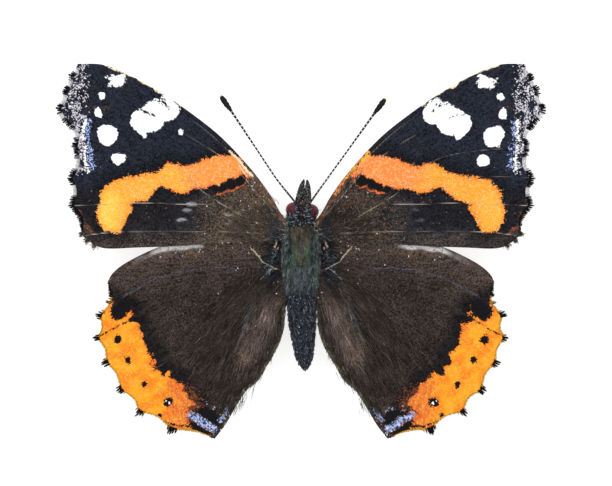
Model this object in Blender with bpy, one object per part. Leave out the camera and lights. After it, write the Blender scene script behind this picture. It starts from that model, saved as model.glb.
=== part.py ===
"""Red admiral butterfly, life size, standing on its four walking legs with its wings spread flat.

The head points to +Y, the back is up (+Z) and the animal's right side is at +X. The origin is on the
floor, in the middle of the wings. Sizes are in millimetres; only make_object() turns them into metres.
"""

import math

import bmesh
import bpy
import numpy as np
from mathutils import Matrix, Vector
from mathutils.geometry import delaunay_2d_cdt

METRES = 0.001

# Shared sizes
GAP = 0.3
WING_THICKNESS = 0.5
MARGIN_THICKNESS = 0.42
VEIN_HALF_WIDTH = 0.34
VEIN_RISE_ABOVE = 0.16
VEIN_RISE_BELOW = 0.12
MEMBRANE_SAG = 0.16
SAG_REACH = 1.3

# Heights above the floor
FOREWING_ROOT_Z = 6.75
HINDWING_ROOT_Z = 5.6

# Forewing, seen from above: leading edge from the root to the apex, margin teeth at the vein ends,
# how deep the margin is scooped after each tooth, then the trailing edge back to the root
FOREWING_ROOT_X = 2.2
FOREWING_COSTA = [(0.8, 2.6), (2.45, 4.5), (3.75, 6.75), (6.15, 9.95), (9.8, 13.85), (13.5, 16.8),
                  (17.2, 19.35), (20.9, 21.4), (24.2, 22.7)]
FOREWING_TEETH = [(27.35, 22.85), (28.45, 21.55), (29.25, 19.8), (30.1, 17.45), (28.8, 15.3),
                  (28.05, 12.6), (28.7, 8.85), (28.55, 5.4), (26.85, 1.75)]
FOREWING_SCOOPS = [0.12, 0.2, 0.3, -0.3, 0.6, 0.65, 0.5, 0.45]
FOREWING_DORSUM = [(24.4, 0.27), (20.0, 0.3), (15.0, 0.5), (9.0, 0.85), (4.0, 1.1), (0.8, 1.2)]

FOREWING_VEINS = {
    "subcosta": [(1.6, 3.0), (3.5, 5.6), (7.2, 10.3), (11.0, 14.1), (15.2, 17.3)],
    "radius": [(1.6, 2.7), (4.6, 6.1), (8.6, 10.5), (13.2, 13.6), (18.6, 17.0), (23.2, 19.7), (28.45, 21.55)],
    "radius_1": [(10.6, 12.05), (14.4, 15.6), (18.8, 19.4)],
    "radius_2": [(12.2, 13.1), (17.0, 17.1), (21.9, 21.2)],
    "radius_3": [(18.6, 17.0), (22.2, 19.9), (26.4, 22.4)],
    "radius_5": [(23.2, 19.7), (26.4, 20.0), (29.25, 19.8)],
    "media_1": [(13.2, 13.6), (17.6, 15.2), (23.4, 16.9), (30.1, 17.45)],
    "media_2": [(13.9, 12.3), (18.2, 13.7), (23.4, 14.8), (28.8, 15.3)],
    "media_3": [(15.4, 10.5), (17.8, 11.5), (22.0, 12.2), (28.05, 12.6)],
    "cell_end": [(13.2, 13.6), (13.9, 12.3), (15.4, 10.5)],
    "cubitus": [(1.6, 2.3), (4.6, 3.1), (7.3, 4.25), (12.1, 7.2), (14.0, 9.3), (15.4, 10.5)],
    "cubitus_1": [(13.3, 8.4), (17.8, 8.9), (23.0, 9.0), (28.7, 8.85)],
    "cubitus_2": [(9.8, 5.7), (13.9, 5.6), (20.0, 5.75), (28.55, 5.4)],
    "anal": [(1.6, 1.9), (5.7, 2.1), (10.1, 2.25), (21.5, 2.25), (26.85, 1.75)],
}

# Hindwing, seen from above, in the same way
HINDWING_ROOT_X = 2.4
HINDWING_COSTA = [(0.8, 0.3), (2.4, 1.05), (4.2, 1.5), (7.0, 1.8), (10.5, 1.8), (13.8, 1.4),
                  (17.2, 0.45), (19.6, -0.55), (21.9, -1.8), (23.2, -2.9)]
HINDWING_TEETH = [(23.7, -3.75), (24.95, -8.0), (25.25, -10.85), (24.1, -13.9), (22.35, -17.35),
                  (20.05, -20.05), (16.05, -22.25), (10.6, -23.2)]
HINDWING_SCOOPS = [0.8, 0.42, 0.4, 0.45, 0.55, 0.55, 0.25]
HINDWING_INNER = [(9.3, -21.5), (7.9, -19.1), (6.6, -17.2), (5.3, -16.1), (4.2, -14.3), (3.3, -12.8),
                  (2.55, -11.3), (1.95, -9.4), (1.5, -7.2), (0.8, -5.0)]

HINDWING_VEINS = {
    "subcosta": [(1.7, -2.7), (4.0, -2.0), (5.4, -1.0), (8.4, 0.2), (12.6, 0.45), (18.8, -1.1), (23.7, -3.75)],
    "humeral": [(5.4, -1.0), (6.2, 0.3)],
    "radius": [(4.0, -2.0), (8.2, -2.3), (11.6, -2.15), (14.6, -2.6), (20.3, -4.9), (24.95, -8.0)],
    "media_1": [(8.2, -2.3), (12.0, -3.7), (17.4, -6.35), (25.25, -10.85)],
    "media_2": [(10.4, -3.1), (12.6, -5.6), (17.6, -9.4), (24.1, -13.9)],
    "cubitus": [(1.7, -3.0), (3.65, -2.5), (7.2, -6.35), (9.9, -9.0), (15.4, -13.0), (22.35, -17.35)],
    "cubitus_1": [(9.9, -9.0), (14.2, -14.0), (20.05, -20.05)],
    "cubitus_2": [(7.2, -6.35), (9.8, -11.6), (12.8, -17.0), (16.05, -22.25)],
    "anal_2": [(1.7, -3.5), (4.1, -6.0), (5.9, -11.0), (8.0, -17.0), (10.6, -23.2)],
    "anal_3": [(1.8, -4.0), (3.0, -6.6), (3.7, -9.6), (4.3, -12.4), (5.2, -16.2)],
}

# Trunk: stations from front to back as (y, half width, underside z, back z)
THORAX = [(3.7, 1.4, 3.85, 6.6), (3.45, 1.85, 3.5, 6.95), (2.9, 2.06, 3.2, 7.35), (1.4, 2.18, 2.95, 7.75),
          (-0.4, 2.22, 2.9, 7.85), (-2.0, 2.18, 3.0, 7.65), (-3.4, 2.05, 3.15, 7.2), (-4.6, 1.9, 3.4, 6.8),
          (-5.1, 1.62, 3.65, 6.5)]
HEAD = [(6.05, 0.45, 4.7, 5.6), (5.85, 0.72, 4.3, 6.0), (5.3, 0.9, 3.95, 6.35), (4.7, 0.92, 3.85, 6.45),
        (4.1, 0.9, 3.95, 6.35), (3.7, 0.8, 4.1, 6.2)]
ABDOMEN_FRONT_Y = -4.7
ABDOMEN_TIP_Y = -14.9
ABDOMEN_SEGMENTS = 8
ABDOMEN_PROFILE = [(0.0, 1.6, 3.6, 6.5), (0.1, 1.84, 3.4, 6.6), (0.3, 1.88, 3.3, 6.6), (0.4, 1.83, 3.3, 6.5),
                   (0.52, 1.65, 3.35, 6.3), (0.66, 1.43, 3.5, 6.0), (0.8, 1.22, 3.65, 5.7),
                   (0.87, 1.04, 3.8, 5.5), (0.94, 0.68, 4.1, 5.2), (1.0, 0.22, 4.45, 4.85)]
ABDOMEN_LEAN = 0.5
HEAD_TURN = 6.0
NECK_Y = 3.4

EYE_CENTRE = (1.1, 4.85, 5.2)
EYE_RADII = (0.96, 0.94, 1.18)
PALP_PATH = [(0.58, 5.0, 4.25), (0.6, 5.9, 4.45), (0.58, 6.9, 4.85), (0.47, 7.9, 5.3), (0.34, 8.68, 5.6)]
PALP_RADII = [0.3, 0.42, 0.41, 0.3, 0.16]
ANTENNA_PATH = [(0.7, 5.1, 6.0), (1.15, 5.9, 6.45), (3.0, 8.65, 7.2), (5.6, 12.45, 8.0), (8.55, 16.8, 8.5),
                (9.1, 17.55, 8.55), (9.65, 18.35, 8.6), (9.95, 18.8, 8.6)]
ANTENNA_RADII = [0.27, 0.25, 0.25, 0.25, 0.26, 0.35, 0.4, 0.24]
ANTENNA_SWING = {"left": -0.5, "right": 1.6}
ANTENNA_BASE = {"left": [(0.42, 5.2, 6.0), (0.8, 5.95, 6.45)], "right": [(0.8, 5.0, 6.0), (1.2, 5.9, 6.45)]}
PROBOSCIS_CENTRE = (0.0, 5.5, 2.75)
PROBOSCIS_RADIUS = 0.78
PROBOSCIS_HALF_WIDTH = 0.24
PROBOSCIS_TURNS = 2.5

# Legs, from the hip to the toes: path and thickness. Walking legs end in toes flat on the floor
FORELEG_PATH = [(0.8, 2.6, 3.6), (1.15, 3.2, 2.95), (1.6, 4.3, 3.05), (1.5, 4.9, 3.5), (1.15, 4.6, 3.3)]
FORELEG_RADII = [0.3, 0.32, 0.3, 0.27, 0.25]
MIDLEG_PATH = [(0.9, 0.4, 3.4), (1.5, 0.7, 2.55), (3.2, 1.5, 3.35), (5.0, 2.5, 4.25), (5.5, 2.9, 4.2),
               (6.4, 4.1, 2.5), (7.3, 5.3, 0.75), (7.75, 5.85, 0.32), (8.6, 6.75, 0.22), (9.6, 7.7, 0.2)]
HINDLEG_PATH = [(0.9, -2.2, 3.4), (1.5, -2.5, 2.6), (2.9, -3.3, 3.2), (4.4, -4.4, 3.95), (4.85, -4.85, 3.9),
                (5.7, -6.4, 2.3), (6.5, -7.9, 0.75), (6.85, -8.6, 0.32), (7.5, -9.9, 0.22), (8.2, -11.3, 0.2)]
WALKING_LEG_RADII = [0.5, 0.45, 0.4, 0.3, 0.29, 0.28, 0.26, 0.26, 0.26, 0.25]

COLOURS = {
    "forewing": (0.016, 0.014, 0.018), "hindwing": (0.042, 0.032, 0.024), "body": (0.05, 0.052, 0.045),
    "abdomen": (0.03, 0.034, 0.04), "eye": (0.16, 0.035, 0.03), "feeler": (0.012, 0.012, 0.014),
    "palp": (0.075, 0.068, 0.06), "leg": (0.12, 0.09, 0.06), "proboscis": (0.1, 0.05, 0.025),
}
ROUGHNESS = {"eye": 0.25, "proboscis": 0.4}


def clear_scene():
    for obj in list(bpy.data.objects):
        bpy.data.objects.remove(obj, do_unlink=True)


def material(name):
    found = bpy.data.materials.get(name)
    if found:
        return found
    made = bpy.data.materials.new(name)
    made.use_nodes = True
    shader = made.node_tree.nodes["Principled BSDF"]
    shader.inputs["Base Color"].default_value = (*COLOURS[name], 1.0)
    shader.inputs["Roughness"].default_value = ROUGHNESS.get(name, 0.75)
    shader.inputs["Metallic"].default_value = 0.0
    return made


def make_object(name, points, faces, slot):
    """One object from points in millimetres, its faces turned outwards."""
    mesh = bpy.data.meshes.new(name)
    mesh.from_pydata([tuple(c * METRES for c in p) for p in points], [], faces)
    shaped = bmesh.new()
    shaped.from_mesh(mesh)
    bmesh.ops.recalc_face_normals(shaped, faces=shaped.faces)
    shaped.to_mesh(mesh)
    shaped.free()
    mesh.materials.append(material(slot))
    mesh.shade_smooth()
    mesh.set_sharp_from_angle(angle=math.radians(50))
    obj = bpy.data.objects.new(name, mesh)
    bpy.context.scene.collection.objects.link(obj)
    return obj


def spline(points, spacing):
    """Points about spacing apart on a smooth curve through the given ones."""
    anchors = [np.array(p, float) for p in points]
    ends = [2 * anchors[0] - anchors[1], *anchors, 2 * anchors[-1] - anchors[-2]]
    made = [anchors[0]]
    for before, a, b, after in zip(ends, ends[1:], ends[2:], ends[3:]):
        steps = max(1, round(np.linalg.norm(b - a) / spacing))
        for k in range(1, steps + 1):
            t = k / steps
            made.append(0.5 * (2 * a + (b - before) * t + (2 * before - 5 * a + 4 * b - after) * t ** 2
                               + (3 * a - before - 3 * b + after) * t ** 3))
    return made


def scooped_margin(teeth, scoops, steps=4):
    """The outer margin: an arc scooped inwards between each tooth and the next."""
    made = []
    for (ax, ay), (bx, by), depth in zip(teeth, teeth[1:], scoops):
        along = Vector((bx - ax, by - ay))
        inward = Vector((along.y, -along.x)).normalized()
        for k in range(steps):
            t = k / steps
            made.append(np.array((ax + along.x * t, ay + along.y * t))
                        + np.array(inward) * depth * 4 * t * (1 - t))
    made.append(np.array(teeth[-1]))
    return made


def wing_outline(costa, teeth, scoops, trailing, spacing):
    """The closed outline, clockwise from the root along the leading edge."""
    leading = spline([*costa, teeth[0]], spacing)
    margin = scooped_margin(teeth, scoops)
    hind = spline([teeth[-1], *trailing], spacing)
    return [*leading[:-1], *margin[:-1], *hind]


def distance_to_lines(point, lines):
    """How far a point is from the nearest line, and how far along that line it is, from 0 to 1."""
    nearest, share = 1e9, 0.0
    for line in lines:
        starts, ends = line[:-1], line[1:]
        span = ends - starts
        t = np.clip(((point - starts) * span).sum(1) / (span ** 2).sum(1), 0, 1)
        gaps = np.linalg.norm(starts + span * t[:, None] - point, axis=1)
        k = int(gaps.argmin())
        if gaps[k] < nearest:
            nearest, share = float(gaps[k]), (k + t[k]) / len(starts)
    return nearest, share


def inside(point, loop):
    """Whether a point lies inside a closed loop."""
    x, y = point
    within = False
    for (ax, ay), (bx, by) in zip(loop, [*loop[1:], loop[0]]):
        if (ay > y) != (by > y) and x < ax + (y - ay) * (bx - ax) / (by - ay):
            within = not within
    return within


def flank(line, offset):
    """A line beside another, kept short of both its ends."""
    made = []
    for before, here, after in zip(line, line[1:], line[2:]):
        run = after - before
        made.append(here + offset * np.array((run[1], -run[0])) / np.linalg.norm(run))
    return made


def wing_plan(outline, veins, lattice):
    """Points and triangles of the wing seen from above, with edges along every vein and beside it."""
    points, edges = [], []

    def add_line(line, closed=False):
        first = len(points)
        points.extend(Vector(p) for p in line)
        count = len(line)
        edges.extend((first + k, first + k + 1) for k in range(count - 1))
        if closed:
            edges.append((first + count - 1, first))

    add_line(outline, closed=True)
    for line in veins:
        add_line(line)
        for side in (-VEIN_HALF_WIDTH, VEIN_HALF_WIDTH):
            beside = [p for p in flank(line, side)
                      if inside(p, outline) and distance_to_lines(p, veins)[0] > 0.8 * VEIN_HALF_WIDTH]
            if len(beside) > 1:
                add_line_pieces(add_line, beside)
    rim = np.array([*outline, outline[0]])
    low, high = rim.min(0), rim.max(0)
    rows = int((high[1] - low[1]) / (lattice * 0.866)) + 1
    columns = int((high[0] - low[0]) / lattice) + 2
    for row in range(rows):
        for column in range(columns):
            p = low + np.array(((column + 0.5 * (row % 2)) * lattice, row * lattice * 0.866))
            clear = inside(p, outline) and distance_to_lines(p, [rim])[0] > 0.45 * lattice
            if clear and distance_to_lines(p, veins)[0] > VEIN_HALF_WIDTH + 0.4 * lattice:
                points.append(Vector(p))
    found = delaunay_2d_cdt(points, edges, [], 1, 1e-5)
    return [np.array(v) for v in found[0]], [tuple(f) for f in found[2]]


def add_line_pieces(add_line, line):
    """Adds a line, broken where neighbours are too far apart to belong together."""
    spans = [np.linalg.norm(b - a) for a, b in zip(line, line[1:])]
    limit = 1.8 * float(np.median(spans))
    piece = [line[0]]
    for point, span in zip(line[1:], spans):
        if span > limit:
            add_line(piece)
            piece = []
        piece.append(point)
    add_line(piece)


def smooth(t):
    t = min(max(t, 0.0), 1.0)
    return t * t * (3 - 2 * t)


def forewing_height(x, y):
    """Middle surface: rises gently outwards, arched from front to back."""
    out = x - FOREWING_ROOT_X
    return FOREWING_ROOT_Z + 0.06 * out - 0.0007 * out ** 2 - 0.0022 * (y - 9.0) ** 2


def hindwing_height(x, y):
    """Middle surface: nearly level, with the strip beside the abdomen folded down."""
    out = x - HINDWING_ROOT_X
    level = HINDWING_ROOT_Z + 0.035 * out - 0.0006 * out ** 2 - 0.0016 * (y + 6.0) ** 2
    fold_x = 3.1 - 0.22 * (y + 6.0)
    fold = smooth((fold_x - x) / 2.6) * smooth((-5.0 - y) / 4.0)
    return level - 0.9 * fold


def wing_object(name, side, outline, vein_points, height, lattice, slot):
    """One wing as a closed sheet whose veins stand up above and below."""
    veins = [np.array(spline(p, 1.5)) for p in vein_points.values()]
    plan, triangles = wing_plan(outline, veins, lattice)
    rim = np.array([*outline, outline[0]])
    top, bottom = [], []
    for p in plan:
        away, share = distance_to_lines(p, veins)
        margin = distance_to_lines(p, [rim])[0]
        ridge = max(0.0, 1 - away / VEIN_HALF_WIDTH) * (1 - 0.45 * share) * smooth(margin / 0.8)
        sag = MEMBRANE_SAG * (1 - math.exp(-(away / SAG_REACH) ** 2)) * smooth(margin / 2.0)
        middle = height(p[0], p[1]) - sag
        half = 0.5 * (MARGIN_THICKNESS + (WING_THICKNESS - MARGIN_THICKNESS) * smooth(margin / 0.8))
        top.append((side * p[0], p[1], middle + half + VEIN_RISE_ABOVE * ridge))
        bottom.append((side * p[0], p[1], middle - half - VEIN_RISE_BELOW * ridge))
    count = len(plan)
    faces = [*triangles, *[tuple(count + k for k in reversed(t)) for t in triangles]]
    uses = {}
    for t in triangles:
        for a, b in zip(t, (*t[1:], t[0])):
            uses[(a, b)] = True
    for a, b in uses:
        if (b, a) not in uses:
            faces.extend([(b, a, count + a), (b, count + a, count + b)])
    return make_object(name, [*top, *bottom], faces, slot)


def ring_loft(name, rings, slot):
    """A closed body from rings of points, each end closed by a fan."""
    sides = len(rings[0])
    points = [p for ring in rings for p in ring]
    faces = []
    for k in range(len(rings) - 1):
        for j in range(sides):
            a, b = k * sides + j, k * sides + (j + 1) % sides
            faces.extend([(a, b, b + sides), (a, b + sides, a + sides)])
    for ring, first in ((rings[0], 0), (rings[-1], (len(rings) - 1) * sides)):
        middle = len(points)
        points.append(tuple(np.mean(ring, axis=0)))
        faces.extend((first + j, first + (j + 1) % sides, middle) for j in range(sides))
    return make_object(name, points, faces, slot)


def trunk_ring(station, sides, grow=0.0, squareness=2.4, shift_x=0.0):
    """A ring across the body: a rounded box of the station's width and height."""
    y, half_width, low, high = station
    centre_z, half_height = (low + high) / 2, (high - low) / 2
    ring = []
    for j in range(sides):
        turn = 2 * math.pi * (j + 0.5) / sides
        c, s = math.cos(turn), math.sin(turn)
        ring.append((shift_x + (half_width + grow) * math.copysign(abs(c) ** (2 / squareness), c), y,
                     centre_z + (half_height + grow) * math.copysign(abs(s) ** (2 / squareness), s)))
    return ring


def trunk(name, stations, sides, slot, grow=0.0):
    """Head or thorax. With grow it is the same shape that much bigger all round, as a cutter."""
    front, back = stations[0], stations[-1]
    if grow:
        stations = [(front[0] + grow, *front[1:]), *stations, (back[0] - grow, *back[1:])]
    return ring_loft(name, [trunk_ring(s, sides, grow) for s in stations], slot)


def abdomen_stations():
    """Stations along the abdomen, pinched a little between its segments."""
    profile = np.array(ABDOMEN_PROFILE)
    per_segment = 3
    made = []
    for k in range(ABDOMEN_SEGMENTS * per_segment + 1):
        share = k / (ABDOMEN_SEGMENTS * per_segment)
        half_width, low, high = (np.interp(share, profile[:, 0], profile[:, c]) for c in (1, 2, 3))
        pinch = 0.06 if k % per_segment == 0 and 0 < share < 1 else 0.0
        y = ABDOMEN_FRONT_Y + (ABDOMEN_TIP_Y - ABDOMEN_FRONT_Y) * share
        made.append(((y, half_width - pinch, low + pinch, high - pinch), ABDOMEN_LEAN * share ** 1.2))
    return made


def abdomen(name, slot, grow=0.0):
    rings = [trunk_ring(station, 18, grow, 2.15, lean) for station, lean in abdomen_stations()]
    return ring_loft(name, rings, slot)


def tube(name, path, radii, side, slot, sides=8, spacing=0.9):
    """A tapered limb along a smooth path. What would pass below the floor is flattened onto it."""
    points = spline([(side * x, y, z) for x, y, z in path], spacing)
    lengths = np.cumsum([0.0, *[np.linalg.norm(b - a) for a, b in zip(points, points[1:])]])
    anchor_lengths = [lengths[int(np.argmin([np.linalg.norm(p - np.array((side * a[0], a[1], a[2])))
                                             for p in points]))] for a in path]
    across = Vector((0, 0, 1))
    rings = []
    for k, point in enumerate(points):
        ahead = points[min(k + 1, len(points) - 1)] - points[max(k - 1, 0)]
        along = Vector(ahead).normalized()
        across = (across - along * across.dot(along)).normalized()
        other = along.cross(across)
        radius = float(np.interp(lengths[k], anchor_lengths, radii))
        ring = []
        for j in range(sides):
            turn = 2 * math.pi * (j + 0.5) / sides
            p = Vector(point) + (across * math.cos(turn) + other * math.sin(turn)) * radius
            ring.append((p.x, p.y, max(p.z, 0.0)))
        rings.append(ring)
    return ring_loft(name, rings, slot)


def swung(path, degrees):
    """A path turned outwards by that much about its first point, seen from above."""
    x0, y0 = path[0][:2]
    c, s = math.cos(math.radians(degrees)), math.sin(math.radians(degrees))
    return [(x0 + (x - x0) * c + (y - y0) * s, y0 - (x - x0) * s + (y - y0) * c, z) for x, y, z in path]


def feeler_path(end):
    """One side's antenna: its own base on the turned head, then the common path swung outwards."""
    return [*ANTENNA_BASE[end], *swung(ANTENNA_PATH, ANTENNA_SWING[end])[2:]]


def turn_head(obj):
    """Turns a part of the head about the neck, towards the animal's right."""
    neck = Vector((0.0, NECK_Y * METRES, 0.0))
    turn = Matrix.Rotation(math.radians(-HEAD_TURN), 4, "Z")
    obj.data.transform(Matrix.Translation(neck) @ turn @ Matrix.Translation(-neck))
    obj.data.update()


def ellipsoid(name, centre, radii, side, slot, rows=9, sides=14):
    """An egg shape with its poles at the outer and inner ends."""
    rings = []
    for k in range(1, rows):
        turn = math.pi * k / rows
        rings.append([(side * (centre[0] + radii[0] * math.cos(turn)),
                       centre[1] + radii[1] * math.sin(turn) * math.cos(2 * math.pi * j / sides),
                       centre[2] + radii[2] * math.sin(turn) * math.sin(2 * math.pi * j / sides))
                      for j in range(sides)])
    return ring_loft(name, rings, slot)


def coiled_proboscis(name, slot, rows=8, sides=26):
    """The rolled-up tongue: a disc on edge, grooved by the spiral between its turns."""
    pitch = PROBOSCIS_RADIUS / PROBOSCIS_TURNS
    cx, cy, cz = PROBOSCIS_CENTRE
    points = []
    for face in (1, -1):
        for k in range(rows):
            radius = PROBOSCIS_RADIUS * (k + 1) / rows
            for j in range(sides):
                turn = 2 * math.pi * j / sides
                swell = abs(math.cos(math.pi * (radius / pitch - turn / (2 * math.pi))))
                half = PROBOSCIS_HALF_WIDTH * (0.72 + 0.28 * swell) * (0.75 if k == rows - 1 else 1.0)
                points.append((cx + face * half, cy + radius * math.cos(turn), cz + radius * math.sin(turn)))
    faces = []
    layer = rows * sides
    for first in (0, layer):
        for k in range(rows - 1):
            for j in range(sides):
                a, b = first + k * sides + j, first + k * sides + (j + 1) % sides
                faces.extend([(a, b, b + sides), (a, b + sides, a + sides)])
        middle = len(points)
        points.append((cx + (1 if first == 0 else -1) * PROBOSCIS_HALF_WIDTH, cy, cz))
        faces.extend((first + j, first + (j + 1) % sides, middle) for j in range(sides))
    rim = (rows - 1) * sides
    for j in range(sides):
        a, b = rim + j, rim + (j + 1) % sides
        faces.extend([(a, b, b + layer), (a, b + layer, a + layer)])
    return make_object(name, points, faces, slot)


def cut(obj, cutter):
    """Takes the cutter's shape out of an object and applies it, keeping the largest closed piece."""
    modifier = obj.modifiers.new("cut", "BOOLEAN")
    modifier.operation = "DIFFERENCE"
    modifier.solver = "EXACT"
    modifier.object = cutter
    graph = bpy.context.evaluated_depsgraph_get()
    mesh = bpy.data.meshes.new_from_object(obj.evaluated_get(graph))
    obj.modifiers.clear()
    keep_largest(mesh)
    obj.data = mesh


def keep_largest(mesh):
    """Drops every loose piece of a mesh but the biggest one."""
    shaped = bmesh.new()
    shaped.from_mesh(mesh)
    left = set(shaped.verts)
    pieces = []
    while left:
        piece, front = set(), [left.pop()]
        while front:
            vert = front.pop()
            piece.add(vert)
            for edge in vert.link_edges:
                other = edge.other_vert(vert)
                if other in left:
                    left.discard(other)
                    front.append(other)
        pieces.append(piece)
    pieces.sort(key=len)
    loose = [vert for piece in pieces[:-1] for vert in piece]
    bmesh.ops.delete(shaped, geom=loose, context="VERTS")
    bmesh.ops.triangulate(shaped, faces=shaped.faces)
    shaped.to_mesh(mesh)
    shaped.free()


def main():
    clear_scene()
    thorax_room = trunk("thorax_room", THORAX, 20, "body", GAP)
    head_room = trunk("head_room", HEAD, 16, "body", GAP)
    abdomen_room = abdomen("abdomen_room", "abdomen", GAP)

    trunk("thorax", THORAX, 20, "body")
    head = trunk("head", HEAD, 16, "body")
    turn_head(head_room)
    turn_head(head)
    cut(head, thorax_room)
    belly = abdomen("abdomen", "abdomen")
    cut(belly, thorax_room)
    turn_head(coiled_proboscis("proboscis", "proboscis"))

    forewing_rim = wing_outline(FOREWING_COSTA, FOREWING_TEETH, FOREWING_SCOOPS, FOREWING_DORSUM, 1.5)
    hindwing_rim = wing_outline(HINDWING_COSTA, HINDWING_TEETH, HINDWING_SCOOPS, HINDWING_INNER, 1.5)
    for side, end in ((-1, "left"), (1, "right")):
        forewing = wing_object("forewing_" + end, side, forewing_rim, FOREWING_VEINS, forewing_height,
                               1.9, "forewing")
        cut(forewing, thorax_room)
        hindwing = wing_object("hindwing_" + end, side, hindwing_rim, HINDWING_VEINS, hindwing_height,
                               1.9, "hindwing")
        cut(hindwing, thorax_room)
        cut(hindwing, abdomen_room)
        eye = ellipsoid("eye_" + end, EYE_CENTRE, EYE_RADII, side, "eye")
        turn_head(eye)
        cut(eye, head_room)
        cut(eye, thorax_room)
        for name, path, radii, slot, room in (
                ("palp_", PALP_PATH, PALP_RADII, "palp", head_room),
                ("antenna_", feeler_path(end), ANTENNA_RADII, "feeler", head_room),
                ("foreleg_", FORELEG_PATH, FORELEG_RADII, "leg", thorax_room),
                ("midleg_", MIDLEG_PATH, WALKING_LEG_RADII, "leg", thorax_room),
                ("hindleg_", HINDLEG_PATH, WALKING_LEG_RADII, "leg", thorax_room)):
            limb = tube(name + end, path, radii, side, slot)
            if name == "palp_":
                turn_head(limb)
            cut(limb, room)
    for helper in (thorax_room, head_room, abdomen_room):
        bpy.data.objects.remove(helper, do_unlink=True)


main()
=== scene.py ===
"""Red admiral butterfly: the looks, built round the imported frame.

The head points to +Y and the animal's right side is at +X. Shapes are written in millimetres and
become metres in new_mesh(). Marks are given for the right side and mirrored, with small differences.
"""

import math
from types import SimpleNamespace

import bpy
import numpy as np
from mathutils import Matrix, Vector
from mathutils.geometry import delaunay_2d_cdt


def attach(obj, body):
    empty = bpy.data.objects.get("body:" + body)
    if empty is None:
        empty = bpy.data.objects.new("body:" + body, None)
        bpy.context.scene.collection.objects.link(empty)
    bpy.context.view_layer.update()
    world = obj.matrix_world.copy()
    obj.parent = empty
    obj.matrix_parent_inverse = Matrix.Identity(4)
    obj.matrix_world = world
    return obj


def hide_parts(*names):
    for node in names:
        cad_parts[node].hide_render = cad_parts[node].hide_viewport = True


METRES = 0.001
BAKE_PATCH = 0.003
# The hair on the wings is unwrapped from above, with this many millimetres across the map
UNWRAP_WIDTH = 70.0

# Wings, seen from above: the same lines as the solids
FOREWING_ROOT_X = 2.2
FOREWING_ROOT_Z = 6.75
FOREWING_COSTA = [
    (0.8, 2.6), (2.45, 4.5), (3.75, 6.75), (6.15, 9.95), (9.8, 13.85), (13.5, 16.8), (17.2, 19.35),
    (20.9, 21.4), (24.2, 22.7),
]
FOREWING_TEETH = [
    (27.35, 22.85), (28.45, 21.55), (29.25, 19.8), (30.1, 17.45), (28.8, 15.3), (28.05, 12.6), (28.7, 8.85),
    (28.55, 5.4), (26.85, 1.75),
]
FOREWING_SCOOPS = [0.12, 0.2, 0.3, -0.3, 0.6, 0.65, 0.5, 0.45]
FOREWING_DORSUM = [(24.4, 0.27), (20.0, 0.3), (15.0, 0.5), (9.0, 0.85), (4.0, 1.1), (0.8, 1.2)]
FOREWING_VEINS = {
    "subcosta": [(1.6, 3.0), (3.5, 5.6), (7.2, 10.3), (11.0, 14.1), (15.2, 17.3)],
    "radius": [(1.6, 2.7), (4.6, 6.1), (8.6, 10.5), (13.2, 13.6), (18.6, 17.0), (23.2, 19.7),
               (28.45, 21.55)],
    "radius_1": [(10.6, 12.05), (14.4, 15.6), (18.8, 19.4)],
    "radius_2": [(12.2, 13.1), (17.0, 17.1), (21.9, 21.2)],
    "radius_3": [(18.6, 17.0), (22.2, 19.9), (26.4, 22.4)],
    "radius_5": [(23.2, 19.7), (26.4, 20.0), (29.25, 19.8)],
    "media_1": [(13.2, 13.6), (17.6, 15.2), (23.4, 16.9), (30.1, 17.45)],
    "media_2": [(13.9, 12.3), (18.2, 13.7), (23.4, 14.8), (28.8, 15.3)],
    "media_3": [(15.4, 10.5), (17.8, 11.5), (22.0, 12.2), (28.05, 12.6)],
    "cell_end": [(13.2, 13.6), (13.9, 12.3), (15.4, 10.5)],
    "cubitus": [(1.6, 2.3), (4.6, 3.1), (7.3, 4.25), (12.1, 7.2), (14.0, 9.3), (15.4, 10.5)],
    "cubitus_1": [(13.3, 8.4), (17.8, 8.9), (23.0, 9.0), (28.7, 8.85)],
    "cubitus_2": [(9.8, 5.7), (13.9, 5.6), (20.0, 5.75), (28.55, 5.4)],
    "anal": [(1.6, 1.9), (5.7, 2.1), (10.1, 2.25), (21.5, 2.25), (26.85, 1.75)],
}
HINDWING_ROOT_X = 2.4
HINDWING_ROOT_Z = 5.6
HINDWING_COSTA = [
    (0.8, 0.3), (2.4, 1.05), (4.2, 1.5), (7.0, 1.8), (10.5, 1.8), (13.8, 1.4), (17.2, 0.45), (19.6, -0.55),
    (21.9, -1.8), (23.2, -2.9),
]
HINDWING_TEETH = [
    (23.7, -3.75), (24.95, -8.0), (25.25, -10.85), (24.1, -13.9), (22.35, -17.35), (20.05, -20.05),
    (16.05, -22.25), (10.6, -23.2),
]
HINDWING_SCOOPS = [0.8, 0.42, 0.4, 0.45, 0.55, 0.55, 0.25]
HINDWING_INNER = [
    (9.3, -21.5), (7.9, -19.1), (6.6, -17.2), (5.3, -16.1), (4.2, -14.3), (3.3, -12.8), (2.55, -11.3),
    (2.05, -9.4), (1.9, -7.2), (0.8, -5.0),
]
HAIRY_EDGE = HINDWING_INNER[1:9]
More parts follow.
